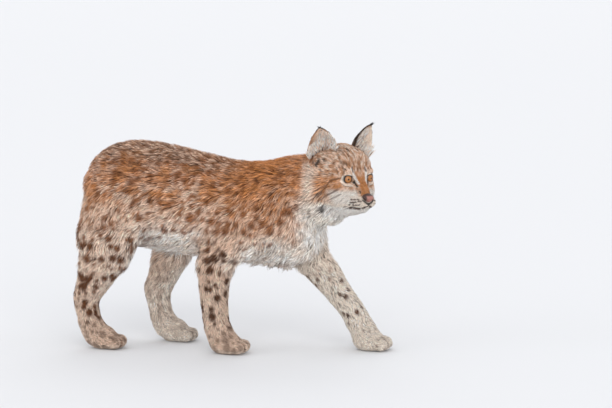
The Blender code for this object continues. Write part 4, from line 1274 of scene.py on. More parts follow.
@dataclass
class Unwrap:
    """Places on an unwrap of the skin's own shape, for the coat's patches."""

    skin: bpy.types.Object
    faces: int = 5000
    angle: float = math.radians(75)
    margin: float = 0.004
    tree: BVHTree | None = None
    corners: Array | None = None
    layout: Array | None = None

    def make(self) -> None:
        """Unwraps a light copy of the skin."""
        mesh = self.skin.data.copy()
        proxy = bpy.data.objects.new("unwrap_guide", mesh)
        bpy.context.scene.collection.objects.link(proxy)
        thin = proxy.modifiers.new("Decimate", "DECIMATE")
        thin.ratio = self.faces / (2 * len(mesh.polygons))
        graph = bpy.context.evaluated_depsgraph_get()
        light = bpy.data.meshes.new_from_object(proxy.evaluated_get(graph))
        bpy.data.objects.remove(proxy, do_unlink=True)
        proxy = bpy.data.objects.new("unwrap_guide", light)
        bpy.context.scene.collection.objects.link(proxy)
        bpy.context.view_layer.objects.active = proxy
        proxy.select_set(True)
        bpy.ops.object.mode_set(mode="EDIT")
        bpy.ops.mesh.select_all(action="SELECT")
        bpy.ops.uv.smart_project(angle_limit=self.angle, island_margin=self.margin)
        bpy.ops.object.mode_set(mode="OBJECT")
        light.calc_loop_triangles()
        rows = np.zeros(len(light.vertices) * 3)
        light.vertices.foreach_get("co", rows)
        rows = rows.reshape(-1, 3)
        triangles = np.array([t.vertices[:] for t in light.loop_triangles])
        loops = np.array([t.loops[:] for t in light.loop_triangles])
        places = np.zeros(len(light.loops) * 2)
        light.uv_layers.active.data.foreach_get("uv", places)
        self.layout = places.reshape(-1, 2)[loops]
        self.corners = rows[triangles]
        self.tree = BVHTree.FromPolygons(rows.tolist(), triangles.tolist())
        bpy.data.objects.remove(proxy, do_unlink=True)

    def at(self, points: Array) -> Array:
        """The unwrap's place for each point of the skin.

        Args:
            points: World places, one a row.

        Returns:
            Two numbers a row.
        """
        hits = [self.tree.find_nearest(Vector(point)) for point in points]
        face = np.array([hit[2] for hit in hits])
        place = np.array([hit[0][:] for hit in hits])
        a, b, c = (self.corners[face, k] for k in range(3))
        whole = np.cross(b - a, c - a)
        size = np.maximum((whole * whole).sum(axis=1), 1e-18)
        second = (np.cross(place - a, c - a) * whole).sum(axis=1) / size
        third = (np.cross(b - a, place - a) * whole).sum(axis=1) / size
        first = 1.0 - second - third
        uv = self.layout[face]
        return uv[:, 0] * first[:, None] + uv[:, 1] * second[:, None] + uv[:, 2] * third[:, None]


@dataclass
class Tufts:
    """Tapered tufts from roots, directions and sizes.

    A tuft has a ring of three points at each station and one point at its tip.

    Attributes:
        stations: Where along the tuft its rings are, from 0 at its root to 1 at its tip.
        widths: How wide it is at each.
        patch: The size of its patch on the unwrap.
        sunk: How far under the skin it starts.
        curve: How early it rises.
        ridge: How high its back is, in half widths.
    """

    stations: tuple[float, ...] = (0.0, 0.34, 0.70)
    widths: tuple[float, ...] = (0.80, 1.0, 0.62)
    patch: float = 0.003
    sunk: float = 0.0012
    curve: float = 1.8
    ridge: float = 0.45

    def faces(self) -> Array:
        """The triangles of one tuft.

        Returns:
            Rows of three numbers of the tuft's own points.
        """
        rows = []
        rings = len(self.stations)
        for ring in range(rings - 1):
            for k in range(3):
                a, b = 3 * ring + k, 3 * ring + (k + 1) % 3
                rows += [(a, b, b + 3), (a, b + 3, a + 3)]
        last = 3 * (rings - 1)
        rows += [(last + k, last + (k + 1) % 3, last + 3) for k in range(3)]
        rows.append((0, 2, 1))
        return np.array(rows)

    def rise(self, step: float) -> float:
        """How much of its height a tuft has at a share of its length."""
        return 1.0 - (1.0 - step) ** self.curve

    def lay(self, roots: Array, normals: Array, flow: Array, length: Array, deep: Array,
            half_width: Array, surface: Volume | None) -> Array:
        """Lays each tuft out along the skin.

        Args:
            roots: Places on the skin.
            normals: The way out of it.
            flow: The lie of the coat at each.
            length: How long each tuft is.
            deep: How high its tip stands over the skin.
            half_width: Half its width.
            surface: Distances to the skin, or None to lie straight.

        Returns:
            Points, as tuft, point of the tuft, axis.
        """
        steps = list(self.stations) + [1.0]
        centre = roots - normals * self.sunk
        way = unit(flow - normals * (flow * normals).sum(axis=1, keepdims=True))
        rows = []
        at = 0.0
        out = normals
        for step in steps:
            if step > at:
                centre = centre + way * (length * (step - at))[:, None]
                height = deep * self.rise(step)
                if surface is None:
                    centre = centre + out * (height - deep * self.rise(at))[:, None]
                else:
                    out = surface.slope(centre)
                    lift = np.clip(height - surface.sample(centre), -0.02, 0.02)
                    centre = centre + out * lift[:, None]
                    way = unit(way - out * (way * out).sum(axis=1, keepdims=True))
                at = step
            rows.append((centre, out, way))
        points = []
        for (centre, out, way), width in zip(rows, self.widths):
            across = np.cross(way, out) * (half_width * width)[:, None]
            lift = out * (half_width * width * self.ridge)[:, None]
            points += [centre + across, centre + lift, centre - across]
        points.append(rows[-1][0])
        return np.stack(points, axis=1)

    def shares(self) -> Array:
        """How far along the tuft each of its points is."""
        return np.repeat(np.array(list(self.stations) + [1.0]), [3] * len(self.stations) + [1])

    def graded(self, root: Array, tip: Array) -> Array:
        """Colours of each tuft's points, from root to tip, with the root darkened by half as
        painted shade.

        Args:
            root: Colours at the roots, one a tuft.
            tip: Colours at the tips.

        Returns:
            Colours, as tuft, point of the tuft, channel.
        """
        share = self.shares()
        # The roots are darkened by half: painted shade deep among the hairs
        tints = mix(root[:, None, :] * 0.50, root[:, None, :], smooth(share, 0.0, 0.4)[None, :])
        return mix(tints, tip[:, None, :], smooth(share, 0.15, 0.80)[None, :])

    def marked(self, points: Array, normals: Array, marks: Markings, outline: Volume) -> Array:
        """Colours of each tuft's points, from the marks at the places where they are seen.

        Args:
            points: Points, as tuft, point of the tuft, axis.
            normals: The way out of the skin at each root.
            marks: The animal's markings.
            outline: Distances to the coat's outline.

        Returns:
            Colours, as tuft, point of the tuft, channel.
        """
        share = self.shares()
        levels = []
        for step in list(self.stations[1:]) + [1.0]:
            centre = points[:, np.isclose(share, step)].mean(axis=1)
            seen = centre - normals * np.clip(outline.sample(centre), -0.03, 0.005)[:, None]
            root, tip = marks.colours(seen, normals)
            levels.append(mix(root, tip, smooth(np.full(len(root), step), 0.0, 0.75)))
        # The root ring is darkened as painted shade deep in the coat
        levels.insert(0, levels[0] * ROOT_PAINTED_SHADE)
        ring = np.searchsorted(np.array(list(self.stations) + [1.0]), share)
        return np.stack(levels, axis=1)[:, ring]

    def piece(self, name: str, points: Array, tints: Array, uv: Array,
              finish: bpy.types.Material) -> bpy.types.Object:
        """One joined piece of coat.

        Args:
            name: The piece's name.
            points: Points, as tuft, point of the tuft, axis.
            tints: Colours, as tuft, point of the tuft, channel.
            uv: The unwrap's place of each root.
            finish: The coat's material.

        Returns:
            The object.
        """
        shape = self.faces()
        tufts, each = points.shape[:2]
        faces = (np.arange(tufts)[:, None, None] * each + shape[None]).reshape(-1, 3)
        rings = len(self.stations)
        share = self.shares()
        made = mesh_object(name, points.reshape(-1, 3), faces, tints.reshape(-1, 3), finish)
        sideways = np.tile([-0.5, 0.0, 0.5], rings).tolist() + [0.0]
        local = np.stack([np.array(sideways), share - 0.5], axis=1) * self.patch
        spread = (uv[:, None, :] + local[None]).reshape(-1, 2)
        layer = made.data.uv_layers.new(name="OFBake")
        layer.data.foreach_set("uv", spread[faces.ravel()].astype(np.float32).ravel())
        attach(made, "root")
        LOG.info("%s: %d tufts", name, tufts)
        return made


@dataclass
class Coat:
    """The winter coat over the whole body, in tufts.

    Attributes:
        piece_triangles: The most triangles in one piece.
        short: Tufts shorter than this have one ring less.
        disorder: How much the tufts turn aside at random.
    """

    skin: Skin
    unwrap: Unwrap
    finish: bpy.types.Material
    seed: int = 5
    piece_triangles: int = 184000
    short: float = 0.0168
    disorder: float = 0.16
    least_width: float = 0.00036
    taper: float = 0.031

    def roots(self) -> tuple[Array, Array]:
        """Scatters roots over the skin, closer where the coat is finer.

        Returns:
            Places and the way out of the skin at each.
        """
        mesh = self.skin.surface.data
        rows = np.zeros(len(mesh.vertices) * 3)
        mesh.vertices.foreach_get("co", rows)
        rows = rows.reshape(-1, 3)
        quads = np.zeros(len(mesh.polygons) * 4, np.int32)
        mesh.loops.foreach_get("vertex_index", quads)
        quads = quads.reshape(-1, 4)
        a, b, c, d = (rows[quads[:, k]] for k in range(4))
        area = 0.5 * np.linalg.norm(np.cross(c - a, d - b), axis=1)
        middle = (a + b + c + d) / 4
        wanted = area / self.skin.build.spacing(middle) ** 2
        luck = np.random.default_rng(self.seed)
        whole = np.floor(wanted + luck.random(len(wanted))).astype(int)
        face = np.repeat(np.arange(len(quads)), whole)
        u, v = luck.random((2, len(face)))
        u, v = u[:, None], v[:, None]
        place = ((a[face] * (1 - u) + b[face] * u) * (1 - v)
                 + (d[face] * (1 - u) + c[face] * u) * v)
        keep = self.open_skin(place)
        place = place[keep]
        return place, self.skin.inside.slope(place)

    def open_skin(self, points: Array) -> Array:
        """Which points are free of eyes, nose and soles.

        Args:
            points: World places, one a row.

        Returns:
            True where a tuft may grow.
        """
        stand = self.skin.stand
        free = points[:, 2] > 0.004
        for side in Side:
            place = stand.eye(side)
            local = (points - np.array(place.translation)) @ np.array(place.to_3x3())
            share = opening_share(local[:, 1], local[:, 2])
            free &= ~((share < 1.30) & (local[:, 0] > 0.0)
                      & (np.linalg.norm(local, axis=1) < 0.024))
        head = stand.in_head(points)
        nose = (head - np.array(NOSE_MIDDLE)) / np.array(NOSE_BARE)
        free &= np.linalg.norm(nose, axis=1) > 1.0
        mirrored = np.stack([head[:, 0], np.abs(head[:, 1]), head[:, 2]], axis=1)
        lips, _, _ = near_line(mirrored, np.array(MOUTH_LINE))
        return free & (lips > 0.0014)

    def combed(self, roots: Array, normals: Array, parts: dict[str, Array],
               luck: np.random.Generator) -> Array:
        """The way each tuft lies along the skin, with swirls and a little disorder.

        Args:
            roots: Places on the skin.
            normals: The way out of it.
            parts: The shares of Build.parts().
            luck: The coat's random draws.

        Returns:
            One direction a row.
        """
        place = self.skin.stand.plain(roots)
        flow = self.skin.build.lie(roots)
        flow = unit(flow - normals * (flow * normals).sum(axis=1, keepdims=True))
        across = np.cross(normals, flow)
        loose = 1.0 - 0.65 * np.maximum(parts["face"], parts["paw"])
        loose = loose * (1.0 - 0.45 * parts["head"])
        swirl = ((soft_noise(place, 0.020, Pattern.SWIRL) - 0.5) * 1.3
                 + (soft_noise(place, 0.009, Pattern.FINE_SWIRL) - 0.5) * 0.9)
        swirl = (swirl + luck.normal(0.0, self.disorder, len(roots))) * loose
        return unit(flow + across * swirl[:, None])

    def shaded(self, parts: dict[str, Array], luck: np.random.Generator) -> Array:
        """How much darker or lighter than its place each tuft is.

        Some tufts are much darker and some much lighter, least on face, chest and belly.

        Args:
            parts: The shares of Build.parts().
            luck: The coat's random draws.

        Returns:
            One factor a row.
        """
        count = len(parts["head"])
        shade = 0.80 + 0.40 * luck.random(count)
        pepper = luck.random(count)
        pure = np.maximum(parts["chest"], parts["belly"])
        flecked = 1.0 - np.maximum(0.6 * parts["face"], 0.8 * pure)
        shade = shade * np.where(pepper < 0.12, 1.0 - 0.50 * flecked, 1.0)
        return shade * np.where(pepper > 0.86, 1.0 + 0.35 * flecked, 1.0)

    def grow(self) -> None:
        """Grows every tuft and joins them into pieces."""
        build, marks = self.skin.build, self.skin.marks
        roots, normals = self.roots()
        luck = np.random.default_rng(self.seed + 1)
        count = len(roots)
        place = self.skin.stand.plain(roots)
        parts = build.parts(roots)
        flow = self.combed(roots, normals, parts, luck)
        length = build.length(roots) * (0.80 + 0.40 * luck.random(count))
        thick = 0.22 * (soft_noise(place, 0.014, Pattern.THICKNESS) - 0.5)
        deep = build.depth(roots) * (0.70 + 0.34 * luck.random(count) + thick)
        half_width = self.least_width + self.taper * length * (0.8 + 0.4 * luck.random(count))
        shade = self.shaded(parts, luck)
        uv = self.unwrap.at(roots)
        small = length < self.short
        total = 0
        for kind, name, members in (
                (Tufts(), "coat", np.flatnonzero(~small)),
                (Tufts((0.0, 0.50), (0.9, 1.0)), "coat_short", np.flatnonzero(small))):
            size = self.piece_triangles // len(kind.faces())
            order = members[np.argsort(place[members, 0], kind="stable")]
            for number, chosen in enumerate(np.array_split(order, math.ceil(len(order) / size))):
                points = kind.lay(roots[chosen], normals[chosen], flow[chosen], length[chosen],
                                  deep[chosen], half_width[chosen], self.skin.inside)
                points[..., 2] = np.maximum(points[..., 2], LOWEST)
                tints = kind.marked(points, normals[chosen], marks, self.skin.volume)
                tints = np.minimum(tints * shade[chosen, None, None], PALEST)
                kind.piece(f"{name}_{number + 1}", points, tints, uv[chosen], self.finish)
                total += len(chosen) * len(kind.faces())
        LOG.info("coat: %d tufts, %d triangles", count, total)


@dataclass(frozen=True)
class Bed:
    """One kind of fur on an ear.

    Attributes:
        inside: True for the cup's side.
        count: How many tufts there are.
        length: How long they are.
        deep: How far their tips stand out.
        across: From where to where they grow across the ear.
        height: How far up it they grow.
        lean: How much they lean across it.
    """

    inside: bool
    count: int
    length: float
    deep: float
    across: tuple[float, float]
    height: float
    lean: float


@dataclass
class Ear:
    """A cupped ear: thin shell, short fur on its back, long pale hair inside, a tuft."""

    stand: Stand
    unwrap: Unwrap
    side: Side
    rows: int = 26
    columns: int = 22
    bow: float = 0.024
    thickness: float = 0.0022
    seed: int = 61
    beds: tuple[Bed, ...] = (
        Bed(False, 1900, 0.0085, 0.0022, (-0.97, 0.97), 0.95, 0.0),
        Bed(True, 1500, 0.0080, 0.0020, (-0.97, 0.97), 0.95, 0.0),
        Bed(True, 460, 0.0260, 0.0080, (-0.98, -0.25), 0.60, 0.80),
        Bed(True, 240, 0.0210, 0.0050, (-0.45, 0.55), 0.70, 0.25),
        Bed(True, 330, 0.0200, 0.0060, (0.10, 0.98), 0.30, -0.35),
    )

    def place(self, across: Array, height: Array) -> Array:
        """Places on the ear's middle surface in the head's axes.

        Args:
            across: From -1 on the inner edge to 1 on the outer.
            height: From 0 at the base to 1 at the tip.

        Returns:
            One place a row.
        """
        inner, outer, tip = (np.array(point) for point in EAR_PLACES[self.side.value])
        base, spread = (inner + outer) / 2, (outer - inner) / 2
        rise = tip - base
        backward = unit(np.cross(spread, rise)[None])[0] * -self.side.value
        level = np.clip(height, 0.0, 1.0)
        width = (1.0 - level ** 2.8) ** 0.75
        width = width * (1.0 + 0.08 * np.sin(np.pi * np.minimum(level * 1.6, 1.0)))
        cup = self.bow * (1.0 - across ** 2) * (0.35 + 0.65 * width) * (1.0 - level ** 3)
        return (base + rise * height[:, None] + spread * (across * width)[:, None]
                + backward * cup[:, None])

    def frame(self, across: Array, height: Array) -> tuple[Array, Array, Array]:
        """World places on the ear and its own directions there.

        Args:
            across: From -1 on the inner edge to 1 on the outer.
            height: From 0 at the base to 1 at the tip.

        Returns:
            World places, the way out of the ear's back, and the way to its tip.
        """
        step = 0.01
        here = self.place(across, height)
        side = self.place(across + step, height) - self.place(across - step, height)
        up = self.place(across, height + step * 0.3) - self.place(across, height - step * 0.3)
        back = unit(np.cross(side, up)) * -self.side.value
        return (self.stand.from_head(here), self.stand.way_from_head(back),
                self.stand.way_from_head(unit(up)))

    def tint(self, across: Array, height: Array, inside: bool) -> Array:
        """The ear's colours: dark back with a grey middle, rust rim, pale inside, and painted
        shadow low on the outer side inside the right ear.

        Args:
            across: From -1 to 1.
            height: From 0 to 1.
            inside: True for the cup's side.

        Returns:
            One colour a row.
        """
        edge = smooth(np.abs(across), 0.66, 0.92)
        medial = smooth(across, -0.45, -0.75)
        black = Tone.BLACK()
        if inside:
            tone = mix(Tone.PALE(0.95), Tone.TAWNY(0.60), 0.75 * smooth(height, 0.40, 0.0))
            if self.side is Side.LEFT:
                tone = mix(tone, Tone.ORANGE(0.9), 0.80 * smooth(across, -0.20, -0.55))
                tone = mix(tone, Tone.CREAM(), 0.60 * smooth(across, 0.0, 0.5))
                tone = mix(tone, black, 0.95 * smooth(across, -0.64, -0.80))
            else:
                # Painted shadow: brown low on the outer side inside the right ear
                shade = smooth(across, 0.05, 0.60) * smooth(height, 0.85, 0.45)
                tone = mix(tone, Tone.TAWNY(0.80), 0.80 * edge)
                tone = mix(tone, Tone.BROWN(1.5), 0.42 * shade)
        else:
            grey = smooth(np.abs(across), 0.60, 0.35) * smooth(height, 0.30, 0.40)
            grey = grey * smooth(height, 0.80, 0.65)
            tone = mix(Tone.BROWN(), Tone.TAWNY(), smooth(height, 0.35, 0.10))
            tone = mix(tone, Tone.PALE(), 0.80 * grey)
            tone = mix(tone, black, 0.9 * np.maximum(smooth(height, 0.55, 0.80), medial))
        start, end = (0.95, 0.99) if inside and self.side is Side.RIGHT else (0.90, 0.96)
        return mix(tone, black, smooth(height, start, end))

    def shell(self, finish: bpy.types.Material) -> None:
        """Makes the ear's thin cup.

        Args:
            finish: Its material.
        """
        down, over = np.meshgrid(np.linspace(-0.10, 0.985, self.rows),
                                 np.linspace(-1.0, 1.0, self.columns), indexing="ij")
        across, height = over.ravel(), down.ravel()
        middle, back, _ = self.frame(across * 0.995, np.clip(height, 0.0, 0.985))
        tip_way = self.frame(np.zeros(1), np.array([0.4]))[2]
        middle = middle + tip_way * (np.minimum(height, 0.0) * 0.06)[:, None]
        thin = self.thickness / 2 * (1.0 - 0.55 * np.abs(across) ** 3)[:, None]
        points = np.concatenate([middle + back * thin, middle - back * thin])
        tints = np.concatenate([self.tint(across, np.maximum(height, 0), False),
                                self.tint(across, np.maximum(height, 0), True)])
        number = np.arange(self.rows * self.columns).reshape(self.rows, self.columns)
        sheet = np.stack([number[:-1, :-1], number[:-1, 1:], number[1:, 1:], number[1:, :-1]],
                         axis=-1).reshape(-1, 4)
        start = self.rows * self.columns
        faces = [sheet, sheet[:, ::-1] + start]
        border = np.concatenate([number[0, :], number[1:, -1], number[-1, -2::-1],
                                 number[-2:0:-1, 0]])
        after = np.roll(border, -1)
        faces.append(np.stack([after, border, border + start, after + start], axis=-1))
        faces = np.concatenate(faces)
        if self.side is Side.LEFT:
            faces = faces[:, ::-1]
        name = "ear_shell_right" if self.side is Side.RIGHT else "ear_shell_left"
        made = mesh_object(name, points, faces, tints, finish)
        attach(made, "root")
        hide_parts("ear_right" if self.side is Side.RIGHT else "ear_left")

    def bed(self, kind: Bed, luck: np.random.Generator) -> tuple[Array, ...]:
        """Lays out the tufts of one kind of fur.

        Args:
            kind: Which kind.
            luck: The ear's random draws.

        Returns:
            Roots, the way out, the lie, length, height, half width and colour, one a row.
        """
        across = luck.uniform(*kind.across, kind.count)
        height = luck.uniform(0.0, kind.height, kind.count)
        here, back, rise = self.frame(across, height)
        out = -back if kind.inside else back
        side_way = unit(np.cross(out, rise)) * (1.0 if kind.inside else -1.0)
        toward = self.side.value * (kind.lean + luck.normal(0.0, 0.22, kind.count))
        way = unit(rise + side_way * toward[:, None])
        tone = self.tint(across, height, kind.inside)
        if kind.lean:
            pale = mix(Tone.PALE(), Tone.WHITE(), luck.random(kind.count))
            dark = luck.random(kind.count) < 0.15 * smooth(height, 0.22, 0.0)
            tone = mix(pale, Tone.BROWN(), dark)
        size = kind.length * luck.uniform(0.75, 1.25, kind.count)
        deep = kind.deep * luck.uniform(0.7, 1.2, kind.count)
        return (here + out * self.thickness * 0.3, out, way, size, deep, 0.00035 + 0.028 * size,
                tone)

    def rim(self, luck: np.random.Generator, count: int = 400) -> tuple[Array, ...]:
        """Lays out the short tufts along both edges of the ear.

        Args:
            luck: The ear's random draws.
            count: How many there are.

        Returns:
            The same rows as bed().
        """
        edge = luck.choice([-0.985, 0.985], count)
        height = luck.uniform(0.0, 0.93, count)
        here, back, rise = self.frame(edge, height)
        size = luck.uniform(0.005, 0.0085, count)
        tone = mix(self.tint(edge, height, True), Tone.ORANGE(), np.full(count, 0.3))
        return here, -back, rise, size, np.full(count, 0.0006), 0.0003 + 0.04 * size, tone

    def tuft(self, luck: np.random.Generator, count: int = 46) -> tuple[Array, ...]:
        """Lays out the long black tuft at the ear's tip.

        Args:
            luck: The ear's random draws.
            count: How many locks it has.

        Returns:
            The same rows as bed().
        """
        across, height = luck.uniform(-0.5, 0.5, count), luck.uniform(0.90, 0.975, count)
        here, back, rise = self.frame(across, height)
        way = unit(rise + 0.10 * luck.normal(size=(count, 3)) + 0.15 * back)
        size = luck.uniform(0.010, 0.0165, count)
        return (here, back, way, size, np.full(count, 0.0004), np.full(count, 0.00065),
                np.tile(Tone.BLACK(), (count, 1)))

    def fur(self, finish: bpy.types.Material) -> None:
        """Grows the ear's fur.

        Args:
            finish: The coat's material.
        """
        luck = np.random.default_rng(self.seed + self.side.value)
        laid = [self.bed(kind, luck) for kind in self.beds]
        laid += [self.rim(luck), self.tuft(luck)]
        roots, out, way, size, deep, half_width, tone = (
            np.concatenate(rows) for rows in zip(*laid))
        tufts = Tufts()
        points = tufts.lay(roots, out, way, size, deep, half_width, None)
        name = "ear_fur_right" if self.side is Side.RIGHT else "ear_fur_left"
        tone = np.minimum(tone * luck.uniform(0.65, 1.35, (len(tone), 1)), PALEST)
        tufts.piece(name, points, tufts.graded(tone * 0.9, tone), self.unwrap.at(roots), finish)


@dataclass
class Whiskers:
    """Long pale whiskers on both whisker pads and short ones over the eyes."""

    skin: Skin
    unwrap: Unwrap
    seed: int = 71
    in_row: int = 5
    over_eye: int = 3
    half_width: float = 0.00026

    def grow(self, finish: bpy.types.Material) -> None:
        """Grows the whiskers as one piece.

        Args:
            finish: Their material.
        """
        luck = np.random.default_rng(self.seed)
        roots, ways, sizes = [], [], []
        for side in Side:
            for row, (height, first, last) in enumerate(WHISKER_ROWS):
                for k in range(self.in_row):
                    share = (k + 0.5) / self.in_row
                    ahead, aside = np.array(first) * (1 - share) + np.array(last) * share
                    roots.append((ahead, side.value * aside, height))
                    ways.append((-0.55 - 0.35 * share, side.value * (1.0 - 0.25 * share),
                                 -0.28 - 0.16 * row + luck.uniform(-0.08, 0.08)))
                    sizes.append(luck.uniform(0.028, 0.040) * (0.75 + 0.35 * share))
            for k in range(self.over_eye):
                roots.append((-0.004 - 0.004 * k, side.value * (0.026 + 0.004 * k), 0.022))
                ways.append((-0.25, side.value * 0.45, 0.80))
                sizes.append(luck.uniform(0.014, 0.022))
        stand, inside = self.skin.stand, self.skin.inside
        roots = stand.from_head(np.array(roots))
        roots = roots - inside.slope(roots) * inside.sample(roots)[:, None]
        ways = stand.way_from_head(unit(np.array(ways)))
        drop = unit(ways * 0.2 + np.array([0.0, 0.0, -1.0]))
        sizes = np.array(sizes)
        kind = Tufts(stations=(0.0, 0.25, 0.5, 0.75), widths=(1.0, 0.85, 0.65, 0.40))
        points = kind.lay(roots, drop, ways, sizes, sizes * 0.10,
                          np.full(len(sizes), self.half_width), None)
        tone = np.tile(Tone.WHITE(), (len(sizes), 1))
        kind.piece("whiskers", points, kind.graded(tone, tone), self.unwrap.at(roots), finish)


@dataclass
class Lips:
    """The dark line between the lips, and the cleft under the nose."""

    skin: Skin
    radius: float = 0.0008
    sides: int = 8
    inset: float = 0.0006
    finest: float = 0.12

    def make(self, finish: bpy.types.Material) -> None:
        """Makes the lips' dark edge as one tube.

        Args:
            finish: Its material.
        """
        right = [(ahead, -aside, up) for ahead, aside, up in MOUTH_LINE[:0:-1]]
        for name, line, tapered in (("lips", right + list(MOUTH_LINE), 18.0),
                                    ("cleft", list(CLEFT_LINE), 6.0)):
            line = np.array(line)
            even = np.linspace(0, len(line) - 1, 8 * len(line))
            knots = np.arange(len(line))
            line = np.stack([np.interp(even, knots, line[:, k]) for k in range(3)], axis=1)
            place = self.skin.stand.from_head(line)
            out = self.skin.inside.slope(place)
            place = place - out * (self.skin.volume.sample(place) + self.inset)[:, None]
            way = unit(np.gradient(place, axis=0))
            across = unit(np.cross(way, out))
            ends = np.minimum(np.arange(len(line)), np.arange(len(line))[::-1])
            taper = np.clip(ends / tapered, self.finest, 1.0)
            turn = 2 * np.pi * np.arange(self.sides) / self.sides
            ring = (across[:, None] * np.cos(turn)[None, :, None]
                    + np.cross(across, way)[:, None] * np.sin(turn)[None, :, None])
            points = place[:, None] + ring * (self.radius * taper)[:, None, None]
            number = np.arange(len(line) * self.sides).reshape(len(line), self.sides)
            after = np.roll(number, -1, axis=1)
            faces = np.stack([number[:-1], number[1:], after[1:], after[:-1]], axis=-1)
            faces = faces.reshape(-1, 4)
            tints = np.tile(Tone.BLACK(1.5), (points.shape[0] * self.sides, 1))
            made = mesh_object(name, points.reshape(-1, 3), faces, tints, finish)
            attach(made, "root")


@dataclass
class Eye:
    """An eyeball with pupil, iris and dark rim, and the lids round it.

    Attributes:
        opening: Half the width and height between the lids.
        inward: How far the opening lies toward the nose.
        glance: How far the gaze turns aside.
        lid_profile: Shares of the way over the lid, and distances from the eye's middle.
    """

    stand: Stand
    side: Side
    radius: float = 0.0130
    iris: float = math.radians(41.0)
    pupil: float = math.radians(9.5)
    opening: tuple[float, float] = (0.0098, 0.0084)
    inward: float = 0.0032
    glance: float = math.radians(-5.5)
    rings: int = 40
    sides: int = 48
    amber: tuple[float, float, float] = (0.215, 0.072, 0.018)
    bright: tuple[float, float, float] = (0.400, 0.165, 0.046)
    pupil_tone: tuple[float, float, float] = (0.004, 0.003, 0.003)
    rim_tone: tuple[float, float, float] = (0.012, 0.008, 0.006)
    lid_profile: tuple[tuple[float, float], ...] = (
        (0.00, 0.01280), (0.10, 0.01340), (0.20, 0.01400), (0.32, 0.01450),
        (0.50, 0.01490), (0.72, 0.01470), (1.00, 0.01400),
    )
    lid_reach: float = 1.85

    def tint(self, turn: float, around: float) -> Array:
        """The eyeball's colour at an angle from the gaze.

        Args:
            turn: The angle from the gaze.
            around: The angle about it.

        Returns:
            A linear colour.
        """
        if turn < self.pupil:
            return np.array(self.pupil_tone)
        if turn < self.iris:
            share = (turn - self.pupil) / (self.iris - self.pupil)
            ray = 0.5 + 0.5 * math.sin(around * 23.0 + 3.0 * math.sin(around * 5.0))
            body = np.array(self.bright) * (1.0 - share) + np.array(self.amber) * share
            body = body * (0.85 + 0.25 * ray)
            return body * (1.0 - 0.85 * max(0.0, (share - 0.70) / 0.30))
        return np.array(self.rim_tone)

    def ball(self, finish: bpy.types.Material) -> bpy.types.Object:
        """Makes the eyeball.

        Args:
            finish: Its material.

        Returns:
            The object.
        """
        points, tints, faces = [], [], []
        edges = [0.0] + [math.pi * (k / self.rings) ** 1.25 for k in range(1, self.rings)]
        for turn in edges:
            for k in range(self.sides):
                around = 2 * math.pi * k / self.sides
                points.append((math.cos(turn), math.sin(turn) * math.cos(around),
                               math.sin(turn) * math.sin(around)))
                tints.append(self.tint(turn + 1e-4, around))
        for ring in range(len(edges) - 1):
            for k in range(self.sides):
                j = (k + 1) % self.sides
                a, b = ring * self.sides, (ring + 1) * self.sides
                faces.append((a + k, b + k, b + j, a + j))
        place = self.stand.eye(self.side)
        turn = np.array(place.to_3x3())
        bulge = np.array(points)
        cornea = 1.0 + 0.05 * smooth(bulge[:, 0], math.cos(self.iris) - 0.02, 0.95)
        bulge = bulge @ np.array(Matrix.Rotation(self.glance, 3, "Z")).T
        world = np.array(place.translation) + (bulge * cornea[:, None] * self.radius) @ turn.T
        name = "eyeball_right" if self.side is Side.RIGHT else "eyeball_left"
        made = mesh_object(name, world, np.array(faces), np.array(tints), finish)
        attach(made, "root")
        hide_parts("eye_right" if self.side is Side.RIGHT else "eye_left")
        return made

    def lids(self, finish: bpy.types.Material) -> bpy.types.Object:
        """Makes the ring of lids that frames the eye.

        Args:
            finish: Its material.

        Returns:
            The object.
        """
        points, tints, faces = [], [], []
        for k in range(self.sides):
            around = 2 * math.pi * k / self.sides
            cosine, sine = math.cos(around), math.sin(around)
            rise = 0.90 * sine ** 0.62 if sine > 0 else -abs(sine) ** 0.90
            inner = np.array([0.0, self.opening[0] * cosine, self.opening[1] * rise])
            outer = np.array([0.0, EYE_OPENING[0] * cosine, EYE_OPENING[1] * rise])
            outer = outer * self.lid_reach
            for share, reach in self.lid_profile:
                spread = inner * (1.0 - share) + outer * share
                spread[1] -= self.side.value * self.inward * (1.0 - share)
                size = min(np.linalg.norm(spread) / reach, 0.96)
                level = unit(spread[None])[0] * reach * size
                level[0] = reach * math.sqrt(1.0 - size * size)
                points.append(level)
                corner = 0.80 * max(0.0, -self.side.value * cosine) ** 3
                dark = float(smooth(np.array([share - corner]), 0.42, 0.24)[0])
                tints.append(mix(Tone.CREAM(0.8), Tone.BLACK(), np.array([dark]))[0])
        rows = len(self.lid_profile)
        for k in range(self.sides):
            j = (k + 1) % self.sides
            for r in range(rows - 1):
                faces.append((k * rows + r, j * rows + r, j * rows + r + 1, k * rows + r + 1))
        place = self.stand.eye(self.side)
        world = np.array(place.translation) + np.array(points) @ np.array(place.to_3x3()).T
        name = "lids_right" if self.side is Side.RIGHT else "lids_left"
        made = mesh_object(name, world, np.array(faces), np.array(tints), finish)
        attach(made, "root")
        return made


